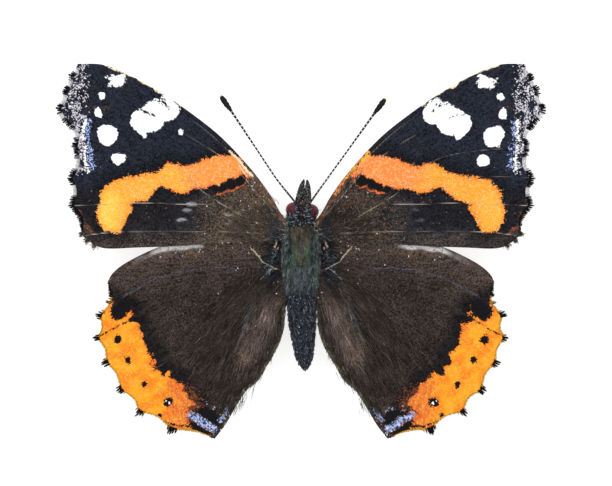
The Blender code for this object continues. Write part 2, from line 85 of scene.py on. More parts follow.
HINDWING_VEINS = {
    "subcosta": [(1.7, -2.7), (4.0, -2.0), (5.4, -1.0), (8.4, 0.2), (12.6, 0.45), (18.8, -1.1),
                 (23.7, -3.75)],
    "humeral": [(5.4, -1.0), (6.2, 0.3)],
    "radius": [(4.0, -2.0), (8.2, -2.3), (11.6, -2.15), (14.6, -2.6), (20.3, -4.9), (24.95, -8.0)],
    "media_1": [(8.2, -2.3), (12.0, -3.7), (17.4, -6.35), (25.25, -10.85)],
    "media_2": [(10.4, -3.1), (12.6, -5.6), (17.6, -9.4), (24.1, -13.9)],
    "cubitus": [(1.7, -3.0), (3.65, -2.5), (7.2, -6.35), (9.9, -9.0), (15.4, -13.0), (22.35, -17.35)],
    "cubitus_1": [(9.9, -9.0), (14.2, -14.0), (20.05, -20.05)],
    "cubitus_2": [(7.2, -6.35), (9.8, -11.6), (12.8, -17.0), (16.05, -22.25)],
    "anal_2": [(1.7, -3.5), (4.1, -6.0), (5.9, -11.0), (8.0, -17.0), (10.6, -23.2)],
    "anal_3": [(1.8, -4.0), (3.0, -6.6), (3.7, -9.6), (4.3, -12.4), (5.2, -16.2)],
}
# The membrane sags between the veins and is lifted along them
MEMBRANE_HALF = 0.07
MEMBRANE_SAG = 0.16
SAG_REACH = 1.3
VEIN_HALF_WIDTH = 0.17
VEIN_RISE = 0.11
FOREWING_FRINGE = 0.5
HINDWING_FRINGE = 0.28
FRINGE_SPACING = 0.0055
TUFT_WIDTH = 0.24
MARGIN_STEPS = 14
# Spacing of the points that fill a wing, and how far apart their rows lie as a share of it
WING_LATTICE = 0.17
LATTICE_ROW = 0.866
# Rows of scales fan out from the wing's root, this many units of the pattern to a radian
SCALE_ROWS = 15.0
# How far each vein of the forewing is rubbed bare
WORN_VEINS = {"cubitus": 0.9, "cubitus_2": 0.8, "media_3": 0.45, "anal": 0.9, "radius": 0.6, "cubitus_1": 0.3,
              "subcosta": 0.4}

# Hair on the wings: x, y, radius, count, direction in degrees, length
FOREWING_HAIR = [
    (2.9, 1.9, 1.0, 260, 20, 1.1), (3.6, 2.8, 1.5, 260, 35, 1.2), (5.8, 3.2, 2.2, 260, 30, 1.2),
    (4.2, 4.6, 1.0, 150, 50, 1.0), (7.0, 2.2, 1.6, 240, 15, 1.4), (26.75, 2.0, 0.3, 90, -20, 0.5),
    (26.1, 1.25, 0.3, 90, -40, 0.5), (25.2, 0.7, 0.35, 90, -55, 0.5),
]
HINDWING_HAIR = [
    (3.0, 0.1, 1.0, 260, 0, 1.0), (3.2, -1.2, 1.1, 300, -20, 1.2), (3.5, -2.6, 1.3, 340, -40, 1.6),
    (4.6, -4.4, 1.6, 560, -52, 2.2), (4.0, -7.4, 1.3, 520, -74, 2.4), (7.5, -6.0, 2.0, 520, -52, 2.4),
    (5.0, -10.6, 1.3, 420, -72, 2.4), (9.2, -10.0, 2.2, 520, -60, 2.4), (9.8, -14.5, 1.9, 460, -64, 2.2),
    (7.3, -15.2, 1.4, 420, -68, 2.2), (3.2, -9.5, 0.5, 260, -84, 1.4), (4.0, -12.4, 0.5, 240, -76, 1.4),
    (5.2, -14.6, 0.6, 240, -70, 1.5), (12.0, -11.5, 2.0, 300, -55, 1.8), (8.4, -18.0, 1.2, 300, -66, 1.6),
    (5.3, -6.8, 0.3, 160, -66, 1.5), (6.4, -8.8, 0.3, 140, -72, 1.4),
]
BASE_FLECKS = [
    (3.0, 1.6, 1.3, 30, 20, 0.35), (3.1, -0.6, 1.5, 30, -10, 0.35), (3.8, -2.4, 1.4, 30, -40, 0.35),
]
WING_JOINTS = [(2.95, 1.0, 0.4, 0.13), (3.1, 0.6, 0.35, 0.16), (2.75, 0.35, 0.3, 0.1)]

# Forewing marks: loops, ovals as x, y, half width and half height, and strokes as a line and its width
ORANGE_BAND = [
    (7.26, 11.4), (8.8, 11.61), (9.89, 11.66), (11.64, 11.29), (12.96, 10.63), (14.49, 10.19),
    (15.15, 10.63), (16.24, 10.74), (17.13, 10.19), (17.78, 9.64), (19.75, 9.2), (21.5, 8.87),
    (22.82, 8.76), (23.59, 8.22), (24.58, 7.01), (24.58, 5.91), (25.02, 4.82), (25.02, 3.94), (24.69, 3.18),
    (24.03, 2.3), (23.26, 2.09), (22.16, 2.2), (21.73, 3.07), (21.29, 3.94), (20.63, 5.04), (20.85, 5.47),
    (20.09, 5.8), (18.88, 6.13), (18.0, 7.01), (17.13, 7.67), (16.24, 7.45), (15.37, 7.01), (14.28, 6.8),
    (13.62, 7.23), (12.75, 7.67), (11.64, 7.45), (10.66, 7.89), (9.89, 7.67), (9.24, 8.33), (8.15, 8.76),
    (7.26, 9.2),
]
WHITE_BAR = [
    (16.7, 19.1), (15.16, 18.05), (14.94, 17.22), (15.16, 16.45), (15.6, 15.96), (16.26, 15.81),
    (16.74, 15.85), (16.76, 15.35), (17.2, 14.8), (17.9, 14.47), (19.0, 14.47), (19.0, 13.87),
    (19.29, 13.8), (20.1, 14.53), (20.77, 15.24), (20.99, 15.79), (20.72, 16.78), (20.1, 17.17),
    (19.24, 17.56), (18.47, 18.27), (17.8, 18.54), (17.25, 18.49),
]
BAR_CUTS = [[(18.0, 18.5), (16.0, 17.4)], [(17.35, 18.6), (16.6, 18.0)], [(20.2, 17.25), (18.1, 16.55)]]
APEX_STREAK = [(24.03, 21.03), (21.5, 21.8), (21.6, 20.4), (22.6, 20.05), (23.7, 20.16), (23.4, 20.7)]
FOREWING_SPOTS = [
    (24.5, 19.0, 0.46, 0.5), (24.86, 16.87, 0.52, 0.66), (23.74, 14.13, 1.3, 1.3),
    (22.43, 11.18, 0.82, 0.71), (14.76, 14.47, 0.28, 0.38),
]
COSTAL_LINES = [
    ([(8.7, 12.2), (7.2, 10.5), (6.0, 9.0)], 0.26), ([(8.0, 11.4), (7.1, 10.3), (6.3, 9.2)], 0.22),
    ([(7.6, 10.3), (6.7, 9.0)], 0.16),
]
EDGE_WHITE = [([(26.45, 15.9), (26.7, 13.5)], 0.38), ([(26.45, 12.6), (26.2, 9.6)], 0.34)]
EDGE_BLUE = [([(26.15, 15.7), (26.2, 13.7)], 0.85), ([(25.85, 12.7), (25.65, 10.0)], 0.8)]
BAND_START = [(8.3, 11.4), (7.4, 10.3), (6.5, 9.1)]
BAND_RIM = [
    (6.7, 9.4), (6.75, 8.5), (7.3, 7.85), (8.0, 7.7), (8.4, 7.3), (9.2, 7.25), (9.5, 6.95), (10.2, 6.95),
]
SHOULDER = [(8.3, 12.1), (6.7, 10.4), (5.4, 8.7), (4.2, 6.9)]
BAND_BLOTCH = [
    (7.5, 8.55, 0.6, 0.72), (8.55, 8.1, 0.58, 0.68), (9.55, 7.75, 0.55, 0.6), (10.6, 7.5, 0.5, 0.45),
]
SMUDGES = [
    (13.4, 5.6, 0.75, 0.28), (14.0, 4.9, 0.7, 0.22), (14.6, 3.7, 0.8, 0.25), (9.0, 4.4, 0.7, 0.22),
    (8.9, 3.3, 0.6, 0.2),
]
# Seeds of the noise in each side's marks
RIGHT_SEED = 11
LEFT_SEED = 31

# Hindwing marks, in the same forms
MARGIN_BAND = [
    (23.1, -6.1), (23.5, -7.2), (23.26, -8.44), (22.6, -8.81), (21.67, -8.25), (20.92, -7.21),
    (20.92, -8.81), (19.98, -9.19), (19.65, -10.2), (19.3, -11.5), (18.9, -12.45), (18.1, -12.76),
    (18.38, -13.89), (17.91, -14.45), (17.17, -15.3), (16.42, -15.2), (15.47, -15.95), (14.34, -17.26),
    (13.6, -18.21), (13.2, -19.14), (14.16, -19.9), (13.97, -20.83), (12.09, -22.53), (12.0, -25.0),
    (28.0, -25.0), (28.0, -6.0),
]
HINDWING_SPOTS = [
    (22.55, -11.03, 0.38, 0.5), (21.35, -13.52, 0.32, 0.4), (19.23, -16.55, 0.33, 0.33),
    (16.35, -18.7, 0.55, 0.5), (17.35, -20.37, 0.27, 0.24),
]
PUPILS = [(16.22, -18.88, 0.12, 0.1), (16.62, -18.6, 0.08, 0.08)]
ANAL_BLUE = [([(13.9, -20.2), (12.2, -21.1), (10.7, -22.1)], 0.95), ([(10.0, -21.1), (8.7, -19.3)], 0.5)]
MARGIN_DARK = [
    ([(21.7, -6.8), (22.4, -7.5)], 1.35), ([(23.4, -6.0), (24.1, -7.1), (24.7, -7.9)], 0.55),
    ([(21.0, -8.6), (25.0, -10.7)], 0.12),
    ([(16.8, -21.1), (15.2, -21.7), (13.8, -21.75), (12.2, -22.3)], 0.24),
]
# Hindwing: the line of a painted sheen, a white glossy streak near the front edge
SHEEN_FRONT = [
    (12.0, 0.6), (14.0, 0.42), (15.5, 0.3), (17.2, 0.05), (18.3, -0.4), (19.6, -1.0), (21.4, -1.95),
]
# Lines of a painted highlight along the hindwing's fold, on the scales and on the hair
FOLD = [(4.0, -6.5), (5.6, -10.3), (6.8, -13.0)]
FOLD_HAIR = [(3.8, -7.0), (5.4, -10.3), (6.6, -13.0)]
RADIAL_THREAD = [
    (8.3, -2.2), (11.2, -2.15), (13.8, -2.5), (15.6, -2.8), (17.3, -3.3), (19.0, -4.1), (20.7, -5.14),
    (21.9, -5.9),
]
# Bare veins and creases of the hindwing
HUMERAL_VEIN = [(3.0, -2.37), (4.0, -1.85), (4.8, -1.42), (5.0, -1.07), (5.74, -0.2), (6.26, 0.35)]
BARE_CUBITUS = [(3.3, -2.2), (3.9, -2.6), (4.5, -3.15), (5.0, -3.65)]
# A painted highlight, grey-blue, runs along the crease on the scales and on the hair
CREASE = [(5.0, -5.0), (6.0, -7.2), (6.9, -9.4), (7.6, -11.4)]

# Body stations from the front of the head to the abdomen's tip: y, half width, underside z, back z
BODY_STATIONS = [
    (5.98, 0.3, 4.8, 5.5), (5.8, 0.6, 4.4, 5.9), (5.3, 0.82, 4.05, 6.22), (4.7, 0.86, 3.95, 6.32),
    (4.25, 0.95, 3.95, 6.3), (3.95, 1.25, 3.85, 6.45), (3.6, 1.65, 3.6, 6.8), (2.9, 1.92, 3.3, 7.2),
    (1.4, 2.06, 3.05, 7.6), (-0.4, 2.1, 3.0, 7.68), (-2.0, 2.06, 3.1, 7.48), (-3.4, 1.94, 3.27, 7.05),
    (-4.6, 1.78, 3.52, 6.65), (-5.2, 1.62, 3.65, 6.4), (-5.8, 1.74, 3.5, 6.46), (-7.2, 1.74, 3.4, 6.5),
    (-8.8, 1.67, 3.4, 6.4), (-10.0, 1.54, 3.45, 6.2), (-11.5, 1.32, 3.6, 5.9), (-12.9, 1.1, 3.75, 5.6),
    (-13.6, 0.9, 3.9, 5.4), (-14.3, 0.52, 4.15, 5.1), (-14.78, 0.16, 4.45, 4.82),
]
HEAD_TURN = 6.0
NECK_Y = 3.4
ABDOMEN_FRONT_Y = -5.2
ABDOMEN_TIP_Y = -14.9
ABDOMEN_RINGS = 8
ABDOMEN_LEAN = 0.5
# Rings and sides of the meshes, tries to place each hair of the coat, and how flat the hairs are
SKIN_ROWS = 260
SKIN_SIDES = 72
LIMB_SIDES = 24
TRIES_PER_HAIR = 14
COAT_FLAT = 0.6
BROW_HAIRS = 620

EYE_CENTRE = (1.1, 4.85, 5.2)
EYE_RADII = (0.95, 0.93, 1.17)
PALP_PATH = [(0.45, 4.9, 4.3), (0.5, 5.9, 4.45), (0.42, 6.9, 4.85), (0.34, 7.95, 5.3), (0.19, 8.7, 5.6)]
PALP_RADII = [0.34, 0.45, 0.42, 0.26, 0.08]
ANTENNA_PATH = [
    (0.7, 5.1, 6.0), (1.15, 5.9, 6.45), (3.0, 8.65, 7.2), (5.6, 12.45, 8.0), (8.55, 16.8, 8.5),
    (9.1, 17.55, 8.55), (9.65, 18.35, 8.6), (9.95, 18.8, 8.6),
]
ANTENNA_RADII = [0.16, 0.13, 0.115, 0.115, 0.16, 0.32, 0.36, 0.16]
ANTENNA_SWING = {"left": -0.5, "right": 1.6}
ANTENNA_RING = 0.52
ANTENNA_BASE = {"left": [(0.42, 5.2, 6.0), (0.8, 5.95, 6.45)], "right": [(0.8, 5.0, 6.0), (1.2, 5.9, 6.45)]}
PROBOSCIS_CENTRE = (0.0, 5.5, 2.75)
PROBOSCIS_TURNS = 3.2
FORELEG_PATH = [(0.8, 2.6, 3.6), (1.15, 3.2, 2.95), (1.6, 4.3, 3.05), (1.5, 4.9, 3.5), (1.15, 4.6, 3.3)]
FORELEG_RADII = [0.2, 0.22, 0.18, 0.14, 0.08]
MIDLEG_PATH = [
    (0.9, 0.4, 3.4), (1.5, 0.7, 2.55), (3.2, 1.5, 3.35), (5.0, 2.5, 4.25), (5.5, 2.9, 4.2), (6.4, 4.1, 2.5),
    (7.3, 5.3, 0.75), (7.75, 5.85, 0.26), (8.6, 6.75, 0.13), (9.6, 7.7, 0.12),
]
HINDLEG_PATH = [
    (0.9, -2.2, 3.4), (1.5, -2.5, 2.6), (2.9, -3.3, 3.2), (4.4, -4.4, 3.95), (4.85, -4.85, 3.9),
    (5.7, -6.4, 2.3), (6.5, -7.9, 0.75), (6.85, -8.6, 0.26), (7.5, -9.9, 0.13), (8.2, -11.3, 0.12),
]
WALKING_LEG_RADII = [0.4, 0.36, 0.24, 0.17, 0.15, 0.14, 0.13, 0.11, 0.1, 0.09]

# Camera: straight above, framing the photograph's 612 by 486 pixels
VIEW_CENTRE = (0.61, 0.86)
VIEW_WIDTH = 75.1
WING_LEVEL = 7.0
LENS = 200.0
SENSOR = 36.0
# Name, place in metres, power and size
LAMPS = (("key", (-0.25, 0.3, 0.6), 1.5, 0.4), ("fill", (0.35, -0.1, 0.7), 0.6, 0.6))


def new_mesh(name, points, triangles, material, floats=None, colours=None, uv=None, smooth=True):
    """A piece from arrays: points in millimetres, triangles, and what its material reads."""
    mesh = bpy.data.meshes.new(name)
    count = len(triangles)
    mesh.vertices.add(len(points))
    mesh.vertices.foreach_set("co", (np.asarray(points) * METRES).astype(np.float32).ravel())
    mesh.loops.add(3 * count)
    mesh.loops.foreach_set("vertex_index", np.asarray(triangles, np.int32).ravel())
    mesh.polygons.add(count)
    mesh.polygons.foreach_set("loop_start", np.arange(0, 3 * count, 3, dtype=np.int32))
    mesh.polygons.foreach_set("use_smooth", np.full(count, smooth))
    for key, values in (floats or {}).items():
        layer = mesh.attributes.new(key, "FLOAT", "POINT")
        layer.data.foreach_set("value", np.asarray(values, np.float32))
    if colours is not None:
        layer = mesh.attributes.new("tint", "FLOAT_COLOR", "POINT")
        layer.data.foreach_set("color", np.asarray(colours, np.float32).ravel())
    if uv is not None:
        layer = mesh.uv_layers.new(name="OFBake")
        layer.data.foreach_set("uv", np.asarray(uv, np.float32)[np.asarray(triangles).ravel()].ravel())
    mesh.update(calc_edges=True)
    mesh.validate()
    mesh.materials.append(material)
    obj = bpy.data.objects.new(name, mesh)
    bpy.context.scene.collection.objects.link(obj)
    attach(obj, "root")
    return obj


def spline(points, spacing):
    """Points about spacing apart on a smooth curve through the given ones."""
    anchors = [np.array(p, float) for p in points]
    ends = [2 * anchors[0] - anchors[1], *anchors, 2 * anchors[-1] - anchors[-2]]
    made = [anchors[0]]
    for before, a, b, after in zip(ends, ends[1:], ends[2:], ends[3:]):
        steps = max(1, round(np.linalg.norm(b - a) / spacing))
        for k in range(1, steps + 1):
            t = k / steps
            made.append(0.5 * (2 * a + (b - before) * t + (2 * before - 5 * a + 4 * b - after) * t ** 2
                               + (3 * a - before - 3 * b + after) * t ** 3))
    return np.array(made)


def smooth(t):
    """0 below 0, 1 above 1, and an even curve between."""
    t = np.clip(t, 0.0, 1.0)
    return t * t * (3 - 2 * t)


def unit(vectors):
    """Each row as a vector one long."""
    return vectors / np.linalg.norm(vectors, axis=1)[:, None]


def columns(*parts):
    """One array with a column for each part."""
    return np.stack(parts, axis=1)


def union(*shapes):
    return np.max(shapes, axis=0)


def blend(share, a, b):
    """A colour for each point, from a at share 0 to b at share 1; a or b may differ by point too."""
    share = np.asarray(share, float)[:, None]
    return np.asarray(a) * (1 - share) + np.asarray(b) * share


def plain(*colour):
    """The same colour for each hair, in the form of a tone."""
    return lambda places, normals=None: np.full((len(places), 3), 1.0) * np.array(colour)


def lighten(draw, colour, chance, tint, brightest=1.6):
    """Gives some of the hairs a pale tint in place of their own."""
    light = draw.uniform(0, 1, len(colour)) < chance
    colour[light] = np.array(tint) * draw.uniform(0.5, brightest, int(light.sum()))[:, None]


def run_lengths(points):
    """Each point's distance from the first one along the line."""
    return np.concatenate([[0], np.cumsum(np.linalg.norm(np.diff(points, axis=0), axis=1))])


def capped(rings):
    """The points of all rings, then the middles of the first and last ring."""
    return np.concatenate([rings.reshape(-1, 3), [rings[0].mean(0)], [rings[-1].mean(0)]])


def lifted(side, base, height, rise):
    """Places on a wing, raised over its middle surface, on the right side or mirrored."""
    return columns(side * base[:, 0], base[:, 1], height(base[:, 0], base[:, 1]) + rise)


def to_line(points, line):
    """Each point's distance from a line, and how far along it the nearest place is, from 0 to 1."""
    line = np.asarray(line, float)
    nearest = np.full(len(points), 1e9)
    share = np.zeros(len(points))
    for k, (a, b) in enumerate(zip(line, line[1:])):
        span = b - a
        t = np.clip(((points - a) @ span) / (span @ span), 0, 1)
        away = np.linalg.norm(points - a - t[:, None] * span, axis=1)
        closer = away < nearest
        nearest[closer] = away[closer]
        share[closer] = (k + t[closer]) / (len(line) - 1)
    return nearest, share


def within(points, loop):
    """Which points lie inside a closed loop."""
    x, y = points[:, 0], points[:, 1]
    found = np.zeros(len(points), bool)
    for (ax, ay), (bx, by) in zip(loop, [*loop[1:], loop[0]]):
        crosses = (ay > y) != (by > y)
        slope = (bx - ax) / (by - ay) if by != ay else 0.0
        found ^= crosses & (x < ax + (y - ay) * slope)
    return found


def in_shape(points, loop):
    """How far inside a closed loop each point is; negative outside."""
    away = to_line(points, [*loop, loop[0]])[0]
    return np.where(within(points, loop), away, -away)


def in_spot(points, x, y, half_width, half_height):
    """How far inside an upright oval each point is; negative outside."""
    reach = np.hypot((points[:, 0] - x) / half_width, (points[:, 1] - y) / half_height)
    return (1 - reach) * min(half_width, half_height)


def in_stroke(points, line, width):
    """How far inside a stroke of that width each point is; negative outside."""
    return 0.5 * width - to_line(points, line)[0]


def in_spots(points, spots):
    return union(*[in_spot(points, *spot) for spot in spots])


def in_strokes(points, strokes):
    return union(*[in_stroke(points, *stroke) for stroke in strokes])


def near(points, line, reach):
    """1 on a line, falling to 0 at reach from it."""
    return smooth(1 - to_line(points, line)[0] / reach)


def waves(points, size, seed):
    """Smooth noise between about -1 and 1, from a few seeded waves of about that size."""
    draw = np.random.default_rng(seed)
    total = np.zeros(len(points))
    for _ in range(7):
        turn = draw.uniform(0, 2 * math.pi)
        step = 2 * math.pi / (size * draw.uniform(0.6, 1.6))
        along = points[:, 0] * math.cos(turn) + points[:, 1] * math.sin(turn)
        total += np.sin(along * step + draw.uniform(0, 2 * math.pi))
    return total / 3.0


class Value:
    """A node's output, which can be added to, taken from, multiplied and compared."""

    def __init__(self, nodes, socket):
        self.nodes = nodes
        self.socket = socket

    def __add__(self, other):
        return self.nodes.math("ADD", self, other)

    def __sub__(self, other):
        return self.nodes.math("SUBTRACT", self, other)

    def __mul__(self, other):
        return self.nodes.math("MULTIPLY", self, other)

    def __truediv__(self, other):
        return self.nodes.math("DIVIDE", self, other)

    def __lt__(self, other):
        return self.nodes.math("LESS_THAN", self, other)


class Nodes:
    """Builds a material's node tree with short calls."""

    def __init__(self, name, **sockets):
        self.material = bpy.data.materials.new(name)
        self.material.use_nodes = True
        self.tree = self.material.node_tree
        self.shader = self.tree.nodes["Principled BSDF"]
        for key, value in sockets.items():
            self.shader.inputs[key.replace("_", " ").title().replace("Ior", "IOR")].default_value = value

    def put(self, socket, value):
        if isinstance(value, Value):
            self.tree.links.new(value.socket, socket)
        elif isinstance(value, tuple):
            socket.default_value = (*value, 1.0)[:4] if len(socket.default_value) == 4 else value
        else:
            socket.default_value = value

    def add(self, kind, inputs, output=0, **settings):
        """A node of that kind with its settings and inputs. The answer is one of its outputs."""
        node = self.tree.nodes.new("ShaderNode" + kind)
        for key, setting in settings.items():
            setattr(node, key, setting)
        for key, value in inputs.items():
            self.put(node.inputs[key], value)
        return Value(self, node.outputs[output])

    def math(self, operation, a, b=0.0):
        return self.add("Math", {0: a, 1: b}, operation=operation)

    def mix(self, share, a, b):
        return self.add("Mix", {0: share, 6: a, 7: b}, 2, data_type="RGBA")

    def scale(self, colour, factor):
        return self.add("VectorMath", {0: colour, "Scale": factor}, operation="SCALE")

    def ramp(self, value, low, high, start=0.0, end=1.0):
        inputs = {1: low, 2: high, 3: start, 4: end, 0: value}
        return self.add("MapRange", inputs, interpolation_type="SMOOTHSTEP")

    def attribute(self, name, output="Fac"):
        return self.add("Attribute", {}, output, attribute_name=name)

    def vector(self, x, y, z=0.0):
        return self.add("CombineXYZ", {0: x, 1: y, 2: z})

    def place(self):
        return self.add("TexCoord", {}, "Object")

    def noise(self, vector, scale, detail=3.0):
        return self.add("TexNoise", {"Vector": vector, "Scale": scale, "Detail": detail}, "Fac")

    def cells(self, vector, scale, dimensions="2D"):
        """Small cells: the distance from each one's middle, and two random shares that differ by cell."""
        inputs = {"Vector": vector, "Scale": scale}
        distance = self.add("TexVoronoi", inputs, "Distance", voronoi_dimensions=dimensions)
        shades = distance.socket.node.outputs["Color"]
        red = self.add("SeparateColor", {0: Value(self, shades)})
        return distance, red, Value(self, red.socket.node.outputs[1])

    def colour(self, value):
        self.put(self.shader.inputs["Base Color"], value)

    def roughness(self, value):
        self.put(self.shader.inputs["Roughness"], value)

    def bump(self, height, strength, depth):
        made = self.add("Bump", {"Strength": strength, "Distance": depth, "Height": height})
        self.put(self.shader.inputs["Normal"], made)


def wing_material(name, ground, deep, pale, hot, under_ground):
    """Overlapping scales. Each mark's edge is broken scale by scale; each scale has its own shade.

    ground is the dark upper side, deep and pale the brown near the body, hot the band's three shades.
    """
    n = Nodes(name, roughness=0.8, specular_ior_level=0.06)
    at, mix, ramp = n.attribute, n.mix, n.ramp
    row, reach = at("row"), at("reach")
    height, pick, _ = n.cells(n.vector(row, reach * 0.62), 8.5)
    _, fleck, fleck_2 = n.cells(n.place(), 8000.0)
    patch = n.noise(n.place(), 420.0)
    grain = n.noise(n.place(), 2300.0, 5.0)
    fine = n.noise(n.place(), 6000.0, 2.0)
    streak = n.noise(n.vector(row, reach * 0.12), 4.0, 2.0)
    spikes = n.noise(n.vector(row, reach * 0.3), 7.0, 2.0) - 0.5

    def mark(attribute, ragged, spiky):
        jitter = (fleck + grain - 1.0) * ragged + spikes * spiky
        return ramp(at(attribute) + jitter, -0.05, 0.05)

    mottle = (fleck + fine + streak * 1.2) * 0.45
    dark_shade = ramp(mottle, 0.38, 1.02, 0.2, 2.3)
    brown = mix(ramp(patch + fleck_2 * 0.4, 0.4, 0.95), deep, pale)
    top = mix(at("brown"), ground, brown)
    # Lighter brown: the forewing's own brown near its root; on the hindwing painted sheen near the front edge
    # and a painted highlight along the fold
    top = mix(at("panel"), top, (0.105, 0.073, 0.06))
    top = mix(at("black") * 0.9, top, (0.0045, 0.0042, 0.0055))
    top = n.scale(top, dark_shade)
    # Grey: smudges on the forewing and pale dust near the hindwing's tail, and a painted highlight along the
    # hindwing's crease
    top = mix(at("ash") * ramp(fine + spikes, 0.15, 0.55), top, (0.34, 0.35, 0.38))
    top = mix(fleck_2 < at("olive"), top, (0.14, 0.115, 0.072))
    top = mix((fleck < at("rust")) * 0.5, top, (0.34, 0.1, 0.035))
    top = mix(fleck_2 < at("pale"), top, mix(fleck, (0.26, 0.25, 0.33), (0.9, 0.86, 0.9)))
    # Painted sheen: a white glossy streak and patches of shine along the hindwing's front edge
    top = mix(at("gloss") * ramp(fine + spikes, 0.2, 0.6, 0.3, 1.0), top, (0.92, 0.91, 0.9))
    blue = mark("blue", 0.6, 1.2) * (fleck < at("thick"))
    top = mix(blue, top, mix(fleck_2, (0.12, 0.2, 0.55), (0.55, 0.66, 0.95)))
    top = mix(mark("thread", 0.08, 0.1) * 0.65, top, (0.085, 0.1, 0.17))
    heat = mix(ramp(at("warm") + grain * 0.25, 0.2, 0.95), hot[0], hot[1])
    heat = mix(at("gold"), heat, (1.0, 0.6, 0.07))
    heat = mix(ramp(at("orange"), 0.0, 0.7, 0.55, 0.0), heat, (0.93, 0.2, 0.02))
    heat = mix(at("red"), heat, (0.62, 0.1, 0.035))
    heat = mix((fleck_2 < 0.22) * 0.45, heat, hot[2])
    heat = n.scale(heat, ramp(pick + grain, 0.4, 1.6, 0.86, 1.06))
    top = mix(mark("orange", 0.25, 0.9), top, heat)
    top = mix(mark("rim", 0.2, 0.6), top, (0.8, 0.16, 0.04))
    top = mix(mark("dark", 0.2, 0.6), top, (0.007, 0.0065, 0.008))
    top = mix(mark("white", 0.2, 0.95), top, mix(pick, (0.92, 0.92, 0.95), (0.98, 0.98, 0.98)))
    top = mix(mark("cream", 0.08, 0.3), top, (0.85, 0.74, 0.52))

    marble = n.noise(n.place(), 330.0, 5.0)
    below = mix(ramp(marble, 0.42, 0.6), under_ground, (0.16, 0.11, 0.065))
    below = mix(ramp(n.noise(n.place(), 950.0, 4.0), 0.56, 0.7), below, (0.34, 0.28, 0.2))
    below = mix(at("black") * 0.9, below, (0.02, 0.017, 0.02))
    below = n.scale(below, ramp(mottle, 0.35, 1.1, 0.4, 1.7))
    below = mix(mark("blue", 0.4, 0.5), below, (0.2, 0.3, 0.5))
    below = mix(mark("orange", 0.3, 0.8), below, mix(pick, (0.75, 0.16, 0.1), (0.85, 0.3, 0.14)))
    below = mix(mark("dark", 0.2, 0.5), below, (0.02, 0.016, 0.015))
    below = mix(mark("white", 0.3, 0.8), below, (0.85, 0.8, 0.74))

    vein = ramp(at("vein"), 0.085, 0.02)
    both = mix(at("under"), top, below)
    both = mix(vein * at("rubbed"), both, (0.52, 0.44, 0.37))
    both = mix(vein * (at("veined") * at("cut")), both, (0.03, 0.014, 0.008))
    n.colour(both)
    n.roughness(ramp(fleck_2, 0.0, 1.0, 0.6, 0.9))
    n.bump(pick - height, 0.55, 0.00003)
    return n.material


def tinted_material(name, roughness=0.65, sheen=0.0):
    """For hairs and scales made as shapes: each carries its own tint, broken up a little."""
    n = Nodes(name, roughness=roughness, specular_ior_level=0.06, sheen_weight=sheen)
    fine = n.noise(n.place(), 5200.0, 2.0)
    n.colour(n.scale(n.attribute("tint", "Color"), n.ramp(fine, 0.3, 0.7, 0.75, 1.2)))
    return n.material


def skin_material(name, deep, light, scale, roughness=0.6, bump=0.4):
    """Skin, shell or eye: two shades in fine grain with matching relief."""
    n = Nodes(name, roughness=roughness, specular_ior_level=0.4)
    grain = n.noise(n.place(), scale, 4.0)
    distance, pick, _ = n.cells(n.place(), scale * 4.0, "3D")
    n.colour(n.mix(n.ramp(grain + pick * 0.3, 0.35, 0.85), deep, light))
    n.bump(grain - distance, bump, 0.00004)
    return n.material


def eye_material():
    """Fine facets over dark red-brown, with darker floating patches."""
    n = Nodes("eye_facets", roughness=0.4, specular_ior_level=0.2)
    distance, pick, _ = n.cells(n.place(), 21000.0, "3D")
    patch = n.noise(n.place(), 2600.0, 3.0)
    red = n.mix(n.ramp(patch, 0.42, 0.62), (0.016, 0.003, 0.007), (0.17, 0.012, 0.02))
    n.colour(n.mix(pick * 0.3, red, (0.2, 0.05, 0.06)))
    n.bump(distance * -1.0, 0.5, 0.00002)
    return n.material


def ringed_material():
    """Feeler: black with a thin white ring at each joint, and a tawny tip."""
    n = Nodes("feeler_rings", roughness=0.7, specular_ior_level=0.15)
    phase = n.math("FRACT", n.attribute("along") / ANTENNA_RING)
    ring = n.ramp(n.math("ABSOLUTE", phase - 0.5), 0.34, 0.41)
    faint = ring * n.ramp(n.attribute("share"), 0.6, 0.56)
    faint = faint * n.ramp(n.attribute("along"), 1.5, 4.5, 0.15, 1.0)
    grain = n.noise(n.place(), 9000.0, 3.0)
    colour = n.mix(grain, (0.004, 0.004, 0.005), (0.014, 0.013, 0.014))
    colour = n.mix(faint * 0.95, colour, (0.85, 0.84, 0.82))
    colour = n.mix(n.ramp(n.attribute("share"), 0.95, 0.99), colour, (0.62, 0.4, 0.14))
    n.colour(colour)
    n.bump(grain, 0.3, 0.00002)
    return n.material


def leg_material():
    """Leg: scaly thigh, warm brown shin and paler banded foot."""
    n = Nodes("leg_shell", roughness=0.5, specular_ior_level=0.35)
    grain = n.noise(n.place(), 5000.0, 4.0)
    thigh = n.mix(grain, (0.06, 0.045, 0.032), (0.17, 0.125, 0.08))
    lower = n.ramp(n.attribute("share"), 0.42, 0.6)
    n.colour(n.mix(lower, thigh, n.mix(grain, (0.2, 0.11, 0.05), (0.36, 0.22, 0.11))))
    n.bump(grain, 0.4, 0.00003)
    return n.material


